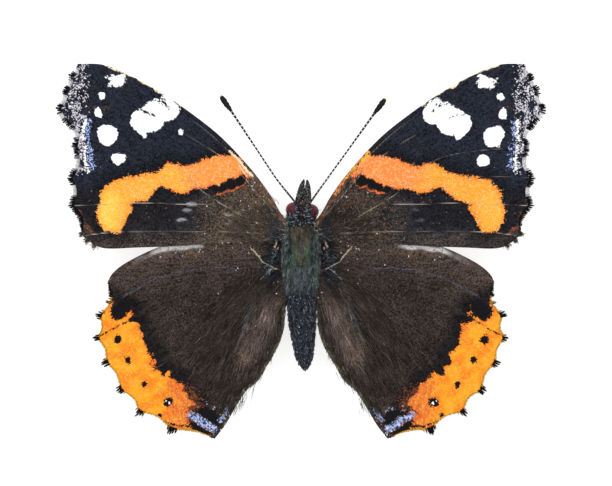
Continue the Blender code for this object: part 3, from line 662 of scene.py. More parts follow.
def strands(name, roots, tips, bows, widths, root_tints, tip_tints, places, material, flat=1.0, segments=3,
            side=1):
    """Closed tapering hairs or narrow scales, three-sided. places is each root's place on the unwrap."""
    mirror = np.array((side, 1, 1))
    roots, tips, bows = roots * mirror, tips * mirror, bows * mirror
    count = len(roots)
    axis = tips - roots
    along = unit(axis)
    across = np.cross(along, (0.0, 0.0, 1.0))
    across[np.linalg.norm(across, axis=1) < 0.05] = (1.0, 0.0, 0.0)
    across = unit(across)
    other = np.cross(across, along)
    per = 3 * segments + 1
    points = np.zeros((count, per, 3))
    tints = np.ones((count, per, 4))
    patch = np.zeros((count, per, 2))
    for k in range(segments):
        t = k / segments
        rows = slice(3 * k, 3 * k + 3)
        middle = roots + axis * t + bows * (4 * t * (1 - t))
        tints[:, rows, :3] = (root_tints + (tip_tints - root_tints) * t)[:, None]
        girth = (widths * (1 - 0.75 * t ** 1.5))[:, None]
        for j in range(3):
            turn = 2 * math.pi * (j + 0.25) / 3
            offset = across * math.cos(turn) + other * (flat * math.sin(turn))
            points[:, 3 * k + j] = middle + offset * girth
            patch[:, 3 * k + j] = (j / 2, t)
    points[:, -1] = roots + axis
    tints[:, -1, :3] = root_tints + (tip_tints - root_tints)
    patch[:, -1] = (0.5, 1.0)
    faces = [(2, 1, 0)]
    for k in range(segments - 1):
        for j in range(3):
            a, b = 3 * k + j, 3 * k + (j + 1) % 3
            faces.extend([(a, b, b + 3), (a, b + 3, a + 3)])
    last = 3 * (segments - 1)
    faces.extend((last + j, last + (j + 1) % 3, per - 1) for j in range(3))
    faces = np.array(faces)[None] + per * np.arange(count)[:, None, None]
    uv = places[:, None] + (patch - 0.5) * BAKE_PATCH
    return new_mesh(name, points.reshape(-1, 3), faces.reshape(-1, 3), material,
                    colours=tints.reshape(-1, 4), uv=np.clip(uv, 0, 1).reshape(-1, 2))


def scooped_margin(teeth, scoops):
    """The outer margin, scooped inwards between teeth, with each point's share of the way to a tooth."""
    made, phase = [], []
    for (ax, ay), (bx, by), depth in zip(teeth, teeth[1:], scoops):
        run = np.array((bx - ax, by - ay))
        inward = np.array((run[1], -run[0])) / np.linalg.norm(run)
        for k in range(MARGIN_STEPS):
            t = k / MARGIN_STEPS
            made.append(np.array((ax, ay)) + run * t + inward * depth * math.sin(math.pi * t) ** 1.4)
            phase.append(abs(2 * t - 1))
    return np.array([*made, np.array(teeth[-1])]), np.array([*phase, 1.0])


def wing_outline(costa, teeth, scoops, trailing, fringe_length):
    """(membrane loop, margin roots, margin tips, tooth share): the fringe runs from roots to tips."""
    leading = spline([*costa, teeth[0]], 0.3)
    margin, phase = scooped_margin(teeth, scoops)
    hind = spline([teeth[-1], *trailing], 0.3)
    run = np.gradient(margin, axis=0)
    inward = columns(run[:, 1], -run[:, 0])
    for _ in range(10):
        inward[1:-1] = (inward[:-2] + inward[1:-1] + inward[2:]) / 3
    order = np.arange(len(margin))
    ends = smooth(np.minimum(order, order[::-1]) / 7.0)
    roots = margin + unit(inward) * fringe_length * (0.12 + 0.88 * ends)[:, None]
    for _ in range(2):
        roots[1:-1] = (roots[:-2] + roots[1:-1] + roots[2:]) / 3
    leading[-1] = roots[0]
    hind[0] = roots[-1]
    return np.concatenate([leading[:-1], roots[:-1], hind]), roots, margin, phase


def wing_plan(loop):
    """Points and triangles filling the outline, seen from above."""
    low, high = loop.min(0), loop.max(0)
    rows = np.arange(0, int((high[1] - low[1]) / (WING_LATTICE * LATTICE_ROW)) + 1)
    columns = np.arange(0, int((high[0] - low[0]) / WING_LATTICE) + 2)
    grid = np.stack(np.meshgrid(columns, rows), axis=-1).reshape(-1, 2).astype(float)
    grid[:, 0] = low[0] + (grid[:, 0] + 0.5 * (grid[:, 1] % 2)) * WING_LATTICE
    grid[:, 1] = low[1] + grid[:, 1] * WING_LATTICE * LATTICE_ROW
    grid = grid[within(grid, loop)]
    grid = grid[to_line(grid, [*loop, loop[0]])[0] > 0.4 * WING_LATTICE]
    count = len(loop)
    points = [Vector(p) for p in np.concatenate([loop, grid])]
    edges = [(k, (k + 1) % count) for k in range(count)]
    found = delaunay_2d_cdt(points, edges, [], 1, 1e-6)
    return np.array(found[0], float), np.array(found[2], int)


def forewing_height(x, y):
    """Middle surface: rises gently outwards, arched from front to back."""
    out = x - FOREWING_ROOT_X
    return FOREWING_ROOT_Z + 0.06 * out - 0.0007 * out ** 2 - 0.0022 * (y - 9.0) ** 2


def hindwing_height(x, y):
    """Middle surface: nearly level, with the strip beside the abdomen folded down."""
    out = x - HINDWING_ROOT_X
    level = HINDWING_ROOT_Z + 0.035 * out - 0.0006 * out ** 2 - 0.0016 * (y + 6.0) ** 2
    fold_x = 3.1 - 0.22 * (y + 6.0)
    return level - 0.9 * smooth((fold_x - x) / 2.6) * smooth((-5.0 - y) / 4.0)


def to_veins(points, veins):
    """Distance to the nearest vein, its share of the way along, and which one it is."""
    nearest = np.full(len(points), 1e9)
    share = np.zeros(len(points))
    which = np.zeros(len(points), int)
    for k, line in enumerate(veins.values()):
        away, at = to_line(points, spline(line, 0.8))
        closer = away < nearest
        nearest[closer], share[closer], which[closer] = away[closer], at[closer], k
    return nearest, share, which


def wing_surface(points, loop, veins, height):
    """Height of the membrane's middle, and how much the nearest vein lifts it."""
    away, share, _ = to_veins(points, veins)
    margin = to_line(points, [*loop, loop[0]])[0]
    sag = MEMBRANE_SAG * (1 - np.exp(-(away / SAG_REACH) ** 2)) * smooth(margin / 2.0)
    lift = np.clip(1 - away / VEIN_HALF_WIDTH, 0, 1) ** 0.7 * (1 - 0.45 * share) * smooth(margin / 0.5)
    return height(points[:, 0], points[:, 1]) - sag, lift


def wandering(p, seed):
    """The places moved a little by noise, so that no mark's edge is a straight line."""
    return p + 0.1 * columns(waves(p, 2.5, seed), waves(p, 2.5, seed + 1))


def forewing_marks(p, under, right):
    """What the wing's material reads, at each point of the right forewing or its mirror image."""
    seed = RIGHT_SEED if right else LEFT_SEED
    q = wandering(p, seed)
    x, y = q[:, 0], q[:, 1]
    root = np.hypot(x - 1.5, y - 2.0)
    band = in_shape(q, ORANGE_BAND)
    lowered = q + np.array((0.0, 0.4)) * right
    white_bar = in_shape(lowered, WHITE_BAR) * (2.0 - 1.1 * smooth((y - 16.7) / 0.8))
    spots = [2.2 * in_spot(q + np.array((0.1, 0.22)) * right, *s) for s in FOREWING_SPOTS[:5 - right]]
    spots[0] = spots[0] - 0.25 * right
    for cut in BAR_CUTS:
        white_bar = np.minimum(white_bar, to_line(lowered, cut)[0] - 0.1 + 0.06 * right)
    white = union(white_bar, in_shape(q + np.array((-0.12, 0.22)) * right, APEX_STREAK), *spots)
    costa = to_line(q, spline(FOREWING_COSTA, 0.6))[0]
    margin = to_line(q, FOREWING_TEETH)[0]
    worn = smooth(waves(q, 1.6, seed + 3) * 0.7 + 0.5)
    cream_edge = np.where((x > 14.6) & (x < 25.5), 0.19 - costa - 0.12 * worn, -5.0)
    shoulder = in_stroke(q, SHOULDER, 0.8) - 0.24 - 5.0 * (not right)
    outer = smooth((x - 25.7) / 1.2) * smooth((y - 9.0) / 1.0) * smooth((margin - 0.25) / 0.3)
    brown = union(0.9 * smooth((15.0 - root) / 7.0), 0.7 * smooth((3.0 - y) / 1.6),
                  0.25 * smooth((7.5 - y) / 1.5))
    none = 0 * x
    ring = under * (0.13 - np.abs(in_spot(q, 14.3, 13.0, 0.9, 0.75) - 0.1)) - 5.0 * (not under)
    return {
        "orange": union(band, in_stroke(q, BAND_START, 0.75), shoulder) - 0.03,
        "rim": in_stroke(q, BAND_RIM, 0.3) - 0.12 * worn,
        "white": union(white, in_strokes(q, EDGE_WHITE) - 0.1 * worn),
        "blue": union(in_strokes(q, EDGE_BLUE) - 0.02, ring),
        "thread": none - 5.0,
        "cream": union(cream_edge, in_strokes(q, COSTAL_LINES) - 0.04 * worn - 5.0 * right),
        "dark": np.where(white > -0.4, -1.0, in_spots(q, BAND_BLOTCH)),
        "brown": (0.75 if right else 1.0) * brown,
        "panel": 0.2 * smooth((9 - root) / 5),
        "black": union(smooth((2.2 - np.abs(band)) / 2.2) * smooth((root - 6) / 4) * 0.85,
                       0.75 * smooth((root - 9.5) / 6) * smooth((y - 1.8) / 1.6) * smooth((8.0 - y) / 1.0),
                       (0.45 if right else 0.15) * smooth((13 - root) / 5),
                       under * smooth((38.5 - x - y) / 4)),
        "ash": smooth(in_spots(q, SMUDGES) / 0.12) * (0.75 + 0.25 * worn) * (1 - 0.85 * right),
        "thick": none + 0.55,
        "cut": np.where(band > 0, 1.0, 0.0) + 0.08,
        "gloss": none,
        "olive": (0.1 if right else 0.17) * smooth((13 - root) / 6) + 0.006 * smooth((12 - y) / 4),
        "rust": 0.3 * smooth(1 - costa / 1.3) * smooth((12.5 - root) / 4) * smooth((y - 2.8) / 1.5)
        + 0.06 * smooth((11 - root) / 4) * smooth((root - 2.2) / 1.5)
        + 0.2 * near(q, [(23.5, 17.3), (26.4, 17.6)], 0.35)
        + 0.7 * near(q, [(27.2, 4.6), (26.8, 3.2), (25.6, 2.1)], 0.4),
        "pale": 0.6 * outer * (0.12 + 0.88 * worn) + (0.004 if right else 0.01) * smooth((12 - root) / 6),
        "warm": smooth((x + 0.4 * (9 - y) - 12.0) / 5.0) * (0.75 if right else 1.0),
        "gold": near(q, [(23.6, 5.6), (23.9, 3.4)], 2.4) * (0.3 if right else 0.85)
        + (0.0 if right else 0.12) + smooth(1 + shoulder / 0.5) * right,
        "red": 0.6 * smooth(1 - (band - 0.05) / 0.3) * (waves(q, 1.8, 5) > 0.2) * (x < 17),
        "under": none + under,
    }


def hindwing_underside(q):
    """Marbled, with a ring of blue round each of four dark spots and a pale stroke at the front."""
    none = 0 * q[:, 0]
    rings = [in_spot(q, x, y, 0.9, 0.9) for x, y, _, _ in HINDWING_SPOTS[:4]]
    marks = dict.fromkeys(("orange", "rim", "thread", "cream"), none - 5.0)
    unused = ("brown", "panel", "ash", "cut", "gloss", "olive", "rust", "pale", "warm", "gold", "red")
    marks.update(dict.fromkeys(unused, none))
    marks["thick"] = none + 0.8
    marks["white"] = in_stroke(q, [(12.0, 0.4), (17.5, -1.8)], 1.0) - 0.1
    marks["blue"] = union(*rings) - 0.3
    marks["dark"] = hindwing_spots(q)
    marks["black"] = 0.5 * smooth(waves(q, 5.0, 77) * 1.2)
    marks["under"] = none + 1
    return marks


def hindwing_spots(q):
    return in_spots(q, [(x, y, 1.15 * a, 1.15 * b) for x, y, a, b in HINDWING_SPOTS])


def hindwing_marks(p, under, right):
    """The same for the right hindwing or its mirror image."""
    seed = RIGHT_SEED if right else LEFT_SEED
    q = wandering(p, seed)
    if under:
        return hindwing_underside(q)
    x, y = q[:, 0], q[:, 1]
    none = 0 * x
    band = in_shape(q, MARGIN_BAND)
    band = band + 0.28 * waves(q, 1.3, seed + 8) * smooth(to_line(q, HINDWING_TEETH)[0] - 1.6)
    root = np.hypot(x - 2.5, y + 2.0)
    anal_blue = in_strokes(q, ANAL_BLUE)
    corner = 0.8 - np.hypot(x - 11.9, (y + 21.2) * 1.1) * 0.42
    dark = union(hindwing_spots(q), in_strokes(q, MARGIN_DARK), corner)
    worn = smooth(waves(q, 1.2, seed + 3) * 0.8 + 0.5)
    # A painted highlight along the fold
    fold = near(q, FOLD, 2.1)
    edge = to_line(q, spline(HINDWING_COSTA, 0.6))[0]
    # Painted sheen: a white glossy streak along the hindwing's front, fading towards its tip
    streak = near(q, SHEEN_FRONT, 0.42) * (0.6 + 0.4 * worn)
    streak = np.clip(2.1 * streak, 0, 1) * (0.14 + 0.86 * smooth((18.9 - x) / 1.8))
    front = smooth((x - 5) / 2) * smooth((19.5 - x) / 4)
    tan = smooth(in_spot(q, 13.6, -0.4, 1.8, 1.0))
    ruddy = smooth((-14.8 - y) / 1.8) * smooth((18.0 - x) / 3.2)
    grained = 0.42 + 0.6 * smooth(waves(q * np.array((1.0, 0.2)), 0.4, 9) + 0.4)
    edge_red = 0.25 * smooth(1 - (band - 0.05) / 0.35) * (waves(q, 1.8, 5) > 0.1)
    tail = smooth((-18.6 - y) / 1.2) * smooth((13.8 - x) / 1.6)
    return {
        "orange": band,
        "rim": none - 5.0,
        "white": 2 * in_spots(q, PUPILS),
        "blue": anal_blue - 0.08,
        "thick": none + 0.78,
        "thread": in_stroke(q, RADIAL_THREAD, 0.13),
        "cream": union(in_stroke(p, HUMERAL_VEIN, 0.13), in_stroke(p, HAIRY_EDGE, 0.17) - 0.06 * worn),
        "dark": np.where(anal_blue > -0.03, -1.0, dark),
        "brown": none + 0.8,
        # Painted sheen near the front edge and a painted highlight along the fold
        "panel": 0.85 * fold + 0.7 * smooth(1 - edge / 2.6) * front + 0.3 * smooth(1 - edge / 6.5),
        "black": smooth((2.7 + band) / 1.8) * 0.9,
        "cut": np.where(band > 0, 1.0, 0.1),
        # Painted highlight along the crease, and pale dust near the tail
        "ash": 0.3 * near(q, CREASE, 0.3) + 0.06 * tail * worn,
        # Painted sheen: the streak, and patches of shine along the front edge
        "gloss": streak * smooth((x - 11.5) / 1.5) * smooth((21.3 - x) / 2.0)
        + 0.22 * smooth(1 - edge / 0.9) * front * worn,
        "olive": 0.012 * smooth((17 - root) / 9) + 0.5 * tan,
        "rust": 0.6 * smooth((1.5 - np.abs(band + 0.3)) / 1.5) * smooth((-15.5 - y) / 2.5) + 0.12 * tan,
        "pale": 0.16 * tail * worn + 0.006 * smooth((9 - root) / 5) + 0.03 * smooth(1 - edge / 2.5) * front
        + 0.012 * tan,
        "warm": 0.5 + 0.5 * waves(q, 2.2, seed + 5),
        "gold": 0.15 * smooth(waves(q, 1.5, seed + 6)),
        "red": np.clip(edge_red + ruddy * grained, 0, 0.8),
        "under": none,
    }


def wing_pair(kind, costa, teeth, scoops, trailing, fringe_length, **rest):
    """What the left and right wing of a pair share."""
    loop, roots, tips, phase = wing_outline(costa, teeth, scoops, trailing, fringe_length)
    plan, triangles = wing_plan(loop)
    return SimpleNamespace(kind=kind, loop=loop, roots=roots, tips=tips, phase=phase, plan=plan,
                           triangles=triangles, **rest)


def wing(pair, side, end):
    """A wing of two faces, each with its own marks."""
    plan, triangles, veins, right = pair.plan, pair.triangles, pair.veins, side > 0
    count = len(plan)
    middle, lift = wing_surface(plan, pair.loop, veins, pair.height)
    away, _, which = to_veins(plan, veins)
    rub = np.array([pair.worn.get(key, 0.04) for key in veins])[which]
    rub = rub * union(0.03 + 0 * rub, smooth((15.5 - plan[:, 0]) / 4), 1.0 * (plan[:, 1] < 6.5),
                      0.8 * right * (plan[:, 1] < 12.8))
    upper, lower = (pair.marks(plan, under, right) for under in (0, 1))
    floats = {key: np.concatenate([upper[key], lower[key]]) for key in upper}
    out = plan - np.array(pair.root)
    wear = np.clip(0.6 + 0.7 * waves(plan, 2.5, (RIGHT_SEED if right else LEFT_SEED) + 7), 0, 1)
    veined = np.array([0.55 if key == "media_1" else 0.25 for key in veins])[which]
    for key, values in (("row", SCALE_ROWS * np.arctan2(out[:, 1], out[:, 0])),
                        ("reach", np.hypot(out[:, 0], out[:, 1])), ("vein", away), ("rubbed", rub * wear),
                        ("veined", veined)):
        floats[key] = np.tile(values, 2)
    thin = MEMBRANE_HALF + VEIN_RISE * lift
    faces = [columns(side * plan[:, 0], plan[:, 1], middle + half) for half in (thin, -thin)]
    edges = np.concatenate([triangles[:, [0, 1]], triangles[:, [1, 2]], triangles[:, [2, 0]]])
    known = {(a, b) for a, b in edges.tolist()}
    rim = np.array([(a, b) for a, b in known if (b, a) not in known])
    walls = np.concatenate([columns(rim[:, 1], rim[:, 0], rim[:, 0] + count),
                            columns(rim[:, 1], rim[:, 0] + count, rim[:, 1] + count)])
    triangles = np.concatenate([triangles, triangles[:, ::-1] + count, walls])[:, ::side]
    made = new_mesh("%s_skin_%s" % (pair.kind, end), np.concatenate(faces), triangles, pair.material, floats)
    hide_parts("%s_%s" % (pair.kind, end))


def fringe(pair, side, end, material, seed):
    """Fringe scales along the outer margin, tufted: dark and longest at the teeth, paler between."""
    draw = np.random.default_rng(seed)
    lengths = run_lengths(pair.roots)
    count = int(lengths[-1] / FRINGE_SPACING)
    at = np.sort(draw.uniform(0, lengths[-1], count))
    tuft = np.floor(at / TUFT_WIDTH).astype(int)
    centre = (tuft + 0.5 + draw.uniform(-0.3, 0.3, tuft.max() + 1)[tuft]) * TUFT_WIDTH
    tuft_stretch = draw.uniform(0.72, 1.12, tuft.max() + 1)[tuft]
    aim = at * 0.45 + centre * 0.55 + draw.normal(0, 0.03, count)

    def place(where, line):
        return columns(*(np.interp(where, lengths, line[:, c]) for c in (0, 1)))

    base, aim_root = place(at, pair.roots), place(aim, pair.roots)
    reach = place(aim, pair.tips) - aim_root
    share = np.interp(centre, lengths, pair.phase) + 0.06 * waves(base, 1.0, seed)
    share = share + draw.normal(0, 0.03, count)
    pale = smooth((pair.tooth_share(base) - share) / 0.1)
    base = base - reach * 0.35
    stretch = tuft_stretch * draw.uniform(0.85, 1.1, count) * (1.0 + pair.longer * (1 - pale) - 0.3 * pale)
    lift = draw.uniform(-0.08, 0.1, count)
    roots = lifted(side, base, pair.height, lift)
    tips = lifted(side, aim_root + reach * stretch[:, None], pair.height, lift * 1.6)
    tint = blend(pale, pair.tooth, pair.hollow) * draw.uniform(0.75, 1.25, count)[:, None]
    # Darker roots and lighter tips: painted shade among the scales and painted light on their ends
    return strands("%s_fringe_%s" % (pair.kind, end), roots, tips, np.zeros((count, 3)),
                   draw.uniform(0.03, 0.05, count), tint * (0.8 + 0.25 * pale[:, None]),
                   np.minimum(tint * 1.1, 1.0), 0.5 + roots[:, :2] / UNWRAP_WIDTH, material, 0.15, 2)


def wing_hair(name, side, spots, height, tone, spread, material, seed, flecks=0.0):
    """Long hair lying on the wing. spots are (x, y, radius, count, direction, length)."""
    draw = np.random.default_rng(seed)
    starts, runs = [], []
    for x, y, radius, count, heading, length in spots:
        turn = draw.uniform(0, 2 * math.pi, count)
        away = radius * np.abs(draw.normal(0, 0.6, count))
        starts.append(columns(x + away * np.cos(turn), y + away * np.sin(turn)))
        angle = math.radians(heading) + draw.normal(0, spread, count)
        long = length * draw.uniform(0.6, 1.15, count)
        runs.append(columns(np.cos(angle) * long, np.sin(angle) * long))
    base = np.concatenate(starts)
    count = len(base)
    roots = lifted(side, base, height, 0.02)
    tips = lifted(side, base + np.concatenate(runs), height, draw.uniform(0.1, 0.28, count))
    bows = columns(draw.normal(0, 0.04, count), draw.normal(0, 0.04, count), np.full(count, 0.12))
    shade = np.clip(1 + 0.4 * waves(base, 0.6, seed + 1), 0.3, 2) * draw.lognormal(0, 0.45, count)
    colour = tone(base) * shade[:, None]
    lighten(draw, colour, flecks, (0.2, 0.21, 0.23))
    # Darker roots and lighter tips: painted shade among the hairs and painted light on their ends
    return strands(name, roots, tips, bows, draw.uniform(0.022, 0.04, count), colour * 0.7, colour * 1.15,
                   0.5 + roots[:, :2] / UNWRAP_WIDTH, material)


def tube_rings(path, radii, sides, spacing, flutes=0.0, pitch=1.0):
    """Rings of points along a smooth path, with each ring's distance along it and its share."""
    points = spline(path, spacing)
    lengths = run_lengths(points)
    anchors = [lengths[int(np.argmin(np.linalg.norm(points - np.array(a), axis=1)))] for a in path]
    radius = np.interp(lengths, anchors, radii) * (1 + flutes * np.cos(2 * math.pi * lengths / pitch))
    share = np.interp(lengths, anchors, np.linspace(0, 1, len(path)))
    across = np.array((0.0, 0.0, 1.0))
    turns = 2 * math.pi * np.arange(sides) / sides
    rings = []
    for centre, heading, r in zip(points, np.gradient(points, axis=0), radius):
        heading = heading / np.linalg.norm(heading)
        across = across - heading * (across @ heading)
        across = across / np.linalg.norm(across)
        other = np.cross(heading, across)
        rings.append(centre + r * (np.cos(turns)[:, None] * across + np.sin(turns)[:, None] * other))
    return np.array(rings), lengths, share


def ring_faces(count, sides):
    """Triangles joining rings one after another, with a fan at each end."""
    faces = []
    for k in range(count - 1):
        for j in range(sides):
            a, b = k * sides + j, k * sides + (j + 1) % sides
            faces.extend([(a, b, b + sides), (a, b + sides, a + sides)])
    tips = count * sides
    for j in range(sides):
        faces.append((tips, (j + 1) % sides, j))
        faces.append((tips + 1, (count - 1) * sides + j, (count - 1) * sides + (j + 1) % sides))
    return np.array(faces)


def tube(name, path, radii, side, material, node=None, sides=12, spacing=0.08, flutes=0.0, pitch=1.0):
    """A limb along a path, for the right side or mirrored."""
    rings, lengths, share = tube_rings(path, radii, sides, spacing, flutes, pitch)
    floats = {key: np.concatenate([np.repeat(values, sides), [values[0], values[-1]]])
              for key, values in (("along", lengths), ("share", share))}
    faces = ring_faces(len(rings), sides)[:, ::side]
    made = new_mesh(name, capped(rings) * (side, 1, 1), faces, material, floats)
    if node:
        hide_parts(node)
    return made


def limb_hair(name, path, radii, side, count, length, lean, width, tints, material, seed, span=(0.05, 0.97),
              flat=1.0, taper=0.0, rare=5.0):
    """Hair or scales growing from a limb and leaning towards its tip; a few on top take the second tint."""
    draw = np.random.default_rng(seed)
    rings, _, share = tube_rings(path, radii, LIMB_SIDES, 0.08)
    ks = draw.choice(np.flatnonzero((share > span[0]) & (share < span[1])), count)
    js = draw.integers(0, LIMB_SIDES, count)
    centres, share = rings.mean(axis=1), share[ks]
    outward = unit(rings[ks, js] - centres[ks])
    roots = rings[ks, js] - outward * 0.02
    heading = unit(np.gradient(centres, axis=0)[ks])
    long = (length * draw.uniform(0.6, 1.2, count) * (1 - taper * share ** 3))[:, None]
    tips = roots + (heading * lean + outward * (1 - lean) + draw.normal(0, 0.08, (count, 3))) * long
    tips[:, 2] = np.maximum(tips[:, 2], 0.02)
    pick = draw.uniform(0, 1, count) ** rare * (0.2 + 0.8 * np.clip(outward[:, 2], 0, 1))
    colour = blend(pick * (1 - taper * share ** 2), *tints)
    places = 0.1 + 0.8 * columns(share, js / LIMB_SIDES)
    # Darker roots: painted shade among the hairs
    return strands(name, roots, tips, outward * 0.05 * long, width * draw.uniform(0.8, 1.2, count),
                   colour * 0.75, colour, places, material, flat, side=side)


def body_frame(turn, station):
    """Points on the body's skin. turn runs round it from 0 to 1, station from the head to the tip."""
    rows = spline(BODY_STATIONS, 0.1)
    at = np.clip(station, 0, 1) * (len(rows) - 1)
    y, half_width, low, high = (np.interp(at, np.arange(len(rows)), rows[:, c]) for c in range(4))
    share = np.clip((ABDOMEN_FRONT_Y - y) / (ABDOMEN_FRONT_Y - ABDOMEN_TIP_Y), 0, 1)
    groove = 0.055 * (share > 0) * (0.5 + 0.5 * np.cos(2 * math.pi * share * ABDOMEN_RINGS)) ** 6
    angle = 2 * math.pi * turn
    c, s = np.cos(angle), np.sin(angle)
    power = 2 / np.where(y > ABDOMEN_FRONT_Y, 2.3, 2.1)
    x = (half_width - groove) * np.sign(c) * np.abs(c) ** power + ABDOMEN_LEAN * share ** 1.2
    z = (low + high) / 2 + ((high - low) / 2 - groove) * np.sign(s) * np.abs(s) ** power
    turn = np.radians(HEAD_TURN) * smooth((y - 3.0) / 1.0)
    y = y - NECK_Y
    return columns(x * np.cos(turn) + y * np.sin(turn), NECK_Y - x * np.sin(turn) + y * np.cos(turn), z)


def body_skin(material):
    """One skin from the head to the tip of the abdomen."""
    stations, turns = np.linspace(0, 1, SKIN_ROWS), np.arange(SKIN_SIDES) / SKIN_SIDES
    grid_v, grid_u = np.meshgrid(stations, turns, indexing="ij")
    points = capped(body_frame(grid_u.ravel(), grid_v.ravel()).reshape(SKIN_ROWS, SKIN_SIDES, 3))
    tint = np.ones((len(points), 4))
    tint[:, :3] = body_tone(points)
    made = new_mesh("body_skin", points, ring_faces(SKIN_ROWS, SKIN_SIDES)[:, ::-1], material, colours=tint)
    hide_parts("head", "thorax", "abdomen")


def coat(name, zone, count, length, lift, width, tone, material, seed, flecks=0.0, sweep=1.0, splay=0.0,
         uneven=0.55, segments=3):
    """Hair or scales over part of the body. zone picks roots, and tone gives their colours, by place."""
    draw = np.random.default_rng(seed)
    tries = count * TRIES_PER_HAIR
    turn, station = draw.uniform(0, 1, tries), draw.uniform(0, 1, tries)
    step = 1e-3
    here = body_frame(turn, station)
    back = body_frame(turn, station + step) - here
    normal = np.cross(body_frame(turn + step, station) - here, back)
    area = np.linalg.norm(normal, axis=1)
    normal /= area[:, None]
    keep = (draw.uniform(0, 1, tries) * np.quantile(area, 0.98) < area) & zone(here, normal)
    keep = np.flatnonzero(keep)[:count]
    here, normal, back = here[keep], normal[keep], unit(back[keep])
    number = len(keep)
    long = length * draw.uniform(0.65, 1.2, number)[:, None]
    lean = 0.35 * waves(here[:, :2], 0.8, seed + 1) + draw.normal(0, 0.18, number)
    run = (back * sweep * (1 - lift) + normal * lift + np.cross(normal, back) * lean[:, None]) * long
    run[:, 0] += splay * np.clip(2 * here[:, 0], -1, 1) * long[:, 0]
    clump = 1 + min(0.8, 1.6 * uneven) * waves(here[:, :2] * np.array((1.0, 0.4)), 0.45, seed)
    shade = np.clip(clump, 0.25, 2.6) * draw.lognormal(-0.15, uneven, number)
    colour = tone(here, normal) * shade[:, None]
    lighten(draw, colour, flecks, (0.4, 0.45, 0.5), 1.7)
    places = 0.05 + 0.9 * columns(turn[keep], station[keep])
    # Darker roots and lighter tips: painted shade among the hairs and painted light on their ends
    return strands(name, here - normal * 0.04, here + run, normal * 0.12 * long,
                   width * draw.uniform(0.8, 1.2, number), colour * 0.6, colour * 1.15, places, material,
                   COAT_FLAT, segments)


def zone(low, high, out=-1.0, aside=-1.0, up=-1.1):
    """Picks roots between two y, further out than out, where the skin faces that far aside and up."""
    return lambda p, d: ((p[:, 1] > low) & (p[:, 1] < high) & (np.abs(p[:, 0]) > out)
                         & (np.abs(d[:, 0]) > aside) & (d[:, 2] > up))


def thorax_tone(p, normals=None):
    """A tone like those of plain(), so coat() gives it the normals too, which it doesn't need.

    Brown at the front of the back; in its middle olive-brown along the midline and green to either side, the
    green a painted sheen; slate behind and grey-blue down the sides. Painted shade darkens the rear and lines
    in the groove and the crease.
    """
    x, y = np.abs(p[:, 0]), p[:, 1] + 0.4 * waves(p[:, :2], 1.6, 3)
    # Green to either side of the midline is a painted sheen on the hair
    middle = blend(smooth((x - 0.25) / 0.7), (0.118, 0.117, 0.09), (0.11, 0.165, 0.115))
    colour = blend(smooth((y + 0.2) / 2.6), middle, (0.125, 0.1, 0.076))
    colour = blend(smooth((-1.3 - y) / 0.9), colour, (0.12, 0.145, 0.155))
    colour = blend(smooth((x - 1.3) / 0.5), colour, (0.108, 0.138, 0.138))
    colour = colour * np.clip(1 + 0.35 * waves(p[:, :2] * np.array((1.0, 0.35)), 0.7, 8), 0.4, 1.6)[:, None]
    # Painted shade: darker towards the rear, where the thorax meets the abdomen
    colour = colour * (1 - 0.6 * smooth((-4.2 - y) / 1.0))[:, None]
    # Painted shade: dark lines in the groove between the back and the flank, and in the crease across the
    # back
    groove = smooth(1 - np.abs(x - 1.3) / 0.3) * smooth((p[:, 1] + 1.9) / 0.4)
    crease = smooth(1 - np.abs(p[:, 1] + 1.7) / 0.25) * smooth((1.4 - x) / 0.3)
    return blend(np.maximum(0.8 * groove, 0.6 * crease), colour, (0.01, 0.028, 0.038))


def body_tone(p):
    """The skin's colour: the coat's, with its painted sheen and shade, but deeper."""
    colour = blend(smooth((-5.0 - p[:, 1]) / 0.3), 0.55 * thorax_tone(p), (0.014, 0.017, 0.024))
    return blend(smooth((p[:, 1] - 2.9) / 0.4), colour, (0.03, 0.02, 0.02))


def turn_head(obj):
    """Turns a part of the head about the neck, towards the animal's right."""
    neck = Vector((0.0, NECK_Y * METRES, 0.0))
    turn = Matrix.Rotation(math.radians(-HEAD_TURN), 4, "Z")
    obj.data.transform(Matrix.Translation(neck) @ turn @ Matrix.Translation(-neck))
    return obj


def swung(path, degrees):
    """A path turned outwards by that much about its first point, seen from above."""
    x0, y0 = path[0][:2]
    c, s = math.cos(math.radians(degrees)), math.sin(math.radians(degrees))
    return [(x0 + (x - x0) * c + (y - y0) * s, y0 - (x - x0) * s + (y - y0) * c, z) for x, y, z in path]


def eye(side, material, node):
    """An eye of even rings; its facets are in the material."""
    rows, sides = 40, 56
    around = 2 * math.pi * np.arange(sides) / sides
    rings = []
    for k in range(1, rows):
        turn = math.pi * k / rows
        rings.append(columns(np.full(sides, side * (EYE_CENTRE[0] + EYE_RADII[0] * math.cos(turn))),
                             EYE_CENTRE[1] + EYE_RADII[1] * math.sin(turn) * np.cos(around),
                             EYE_CENTRE[2] + EYE_RADII[2] * math.sin(turn) * np.sin(around)))
    faces = ring_faces(len(rings), sides)[:, ::-side]
    made = new_mesh(node + "_facets", capped(np.array(rings)), faces, material)
    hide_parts(node)
    return made


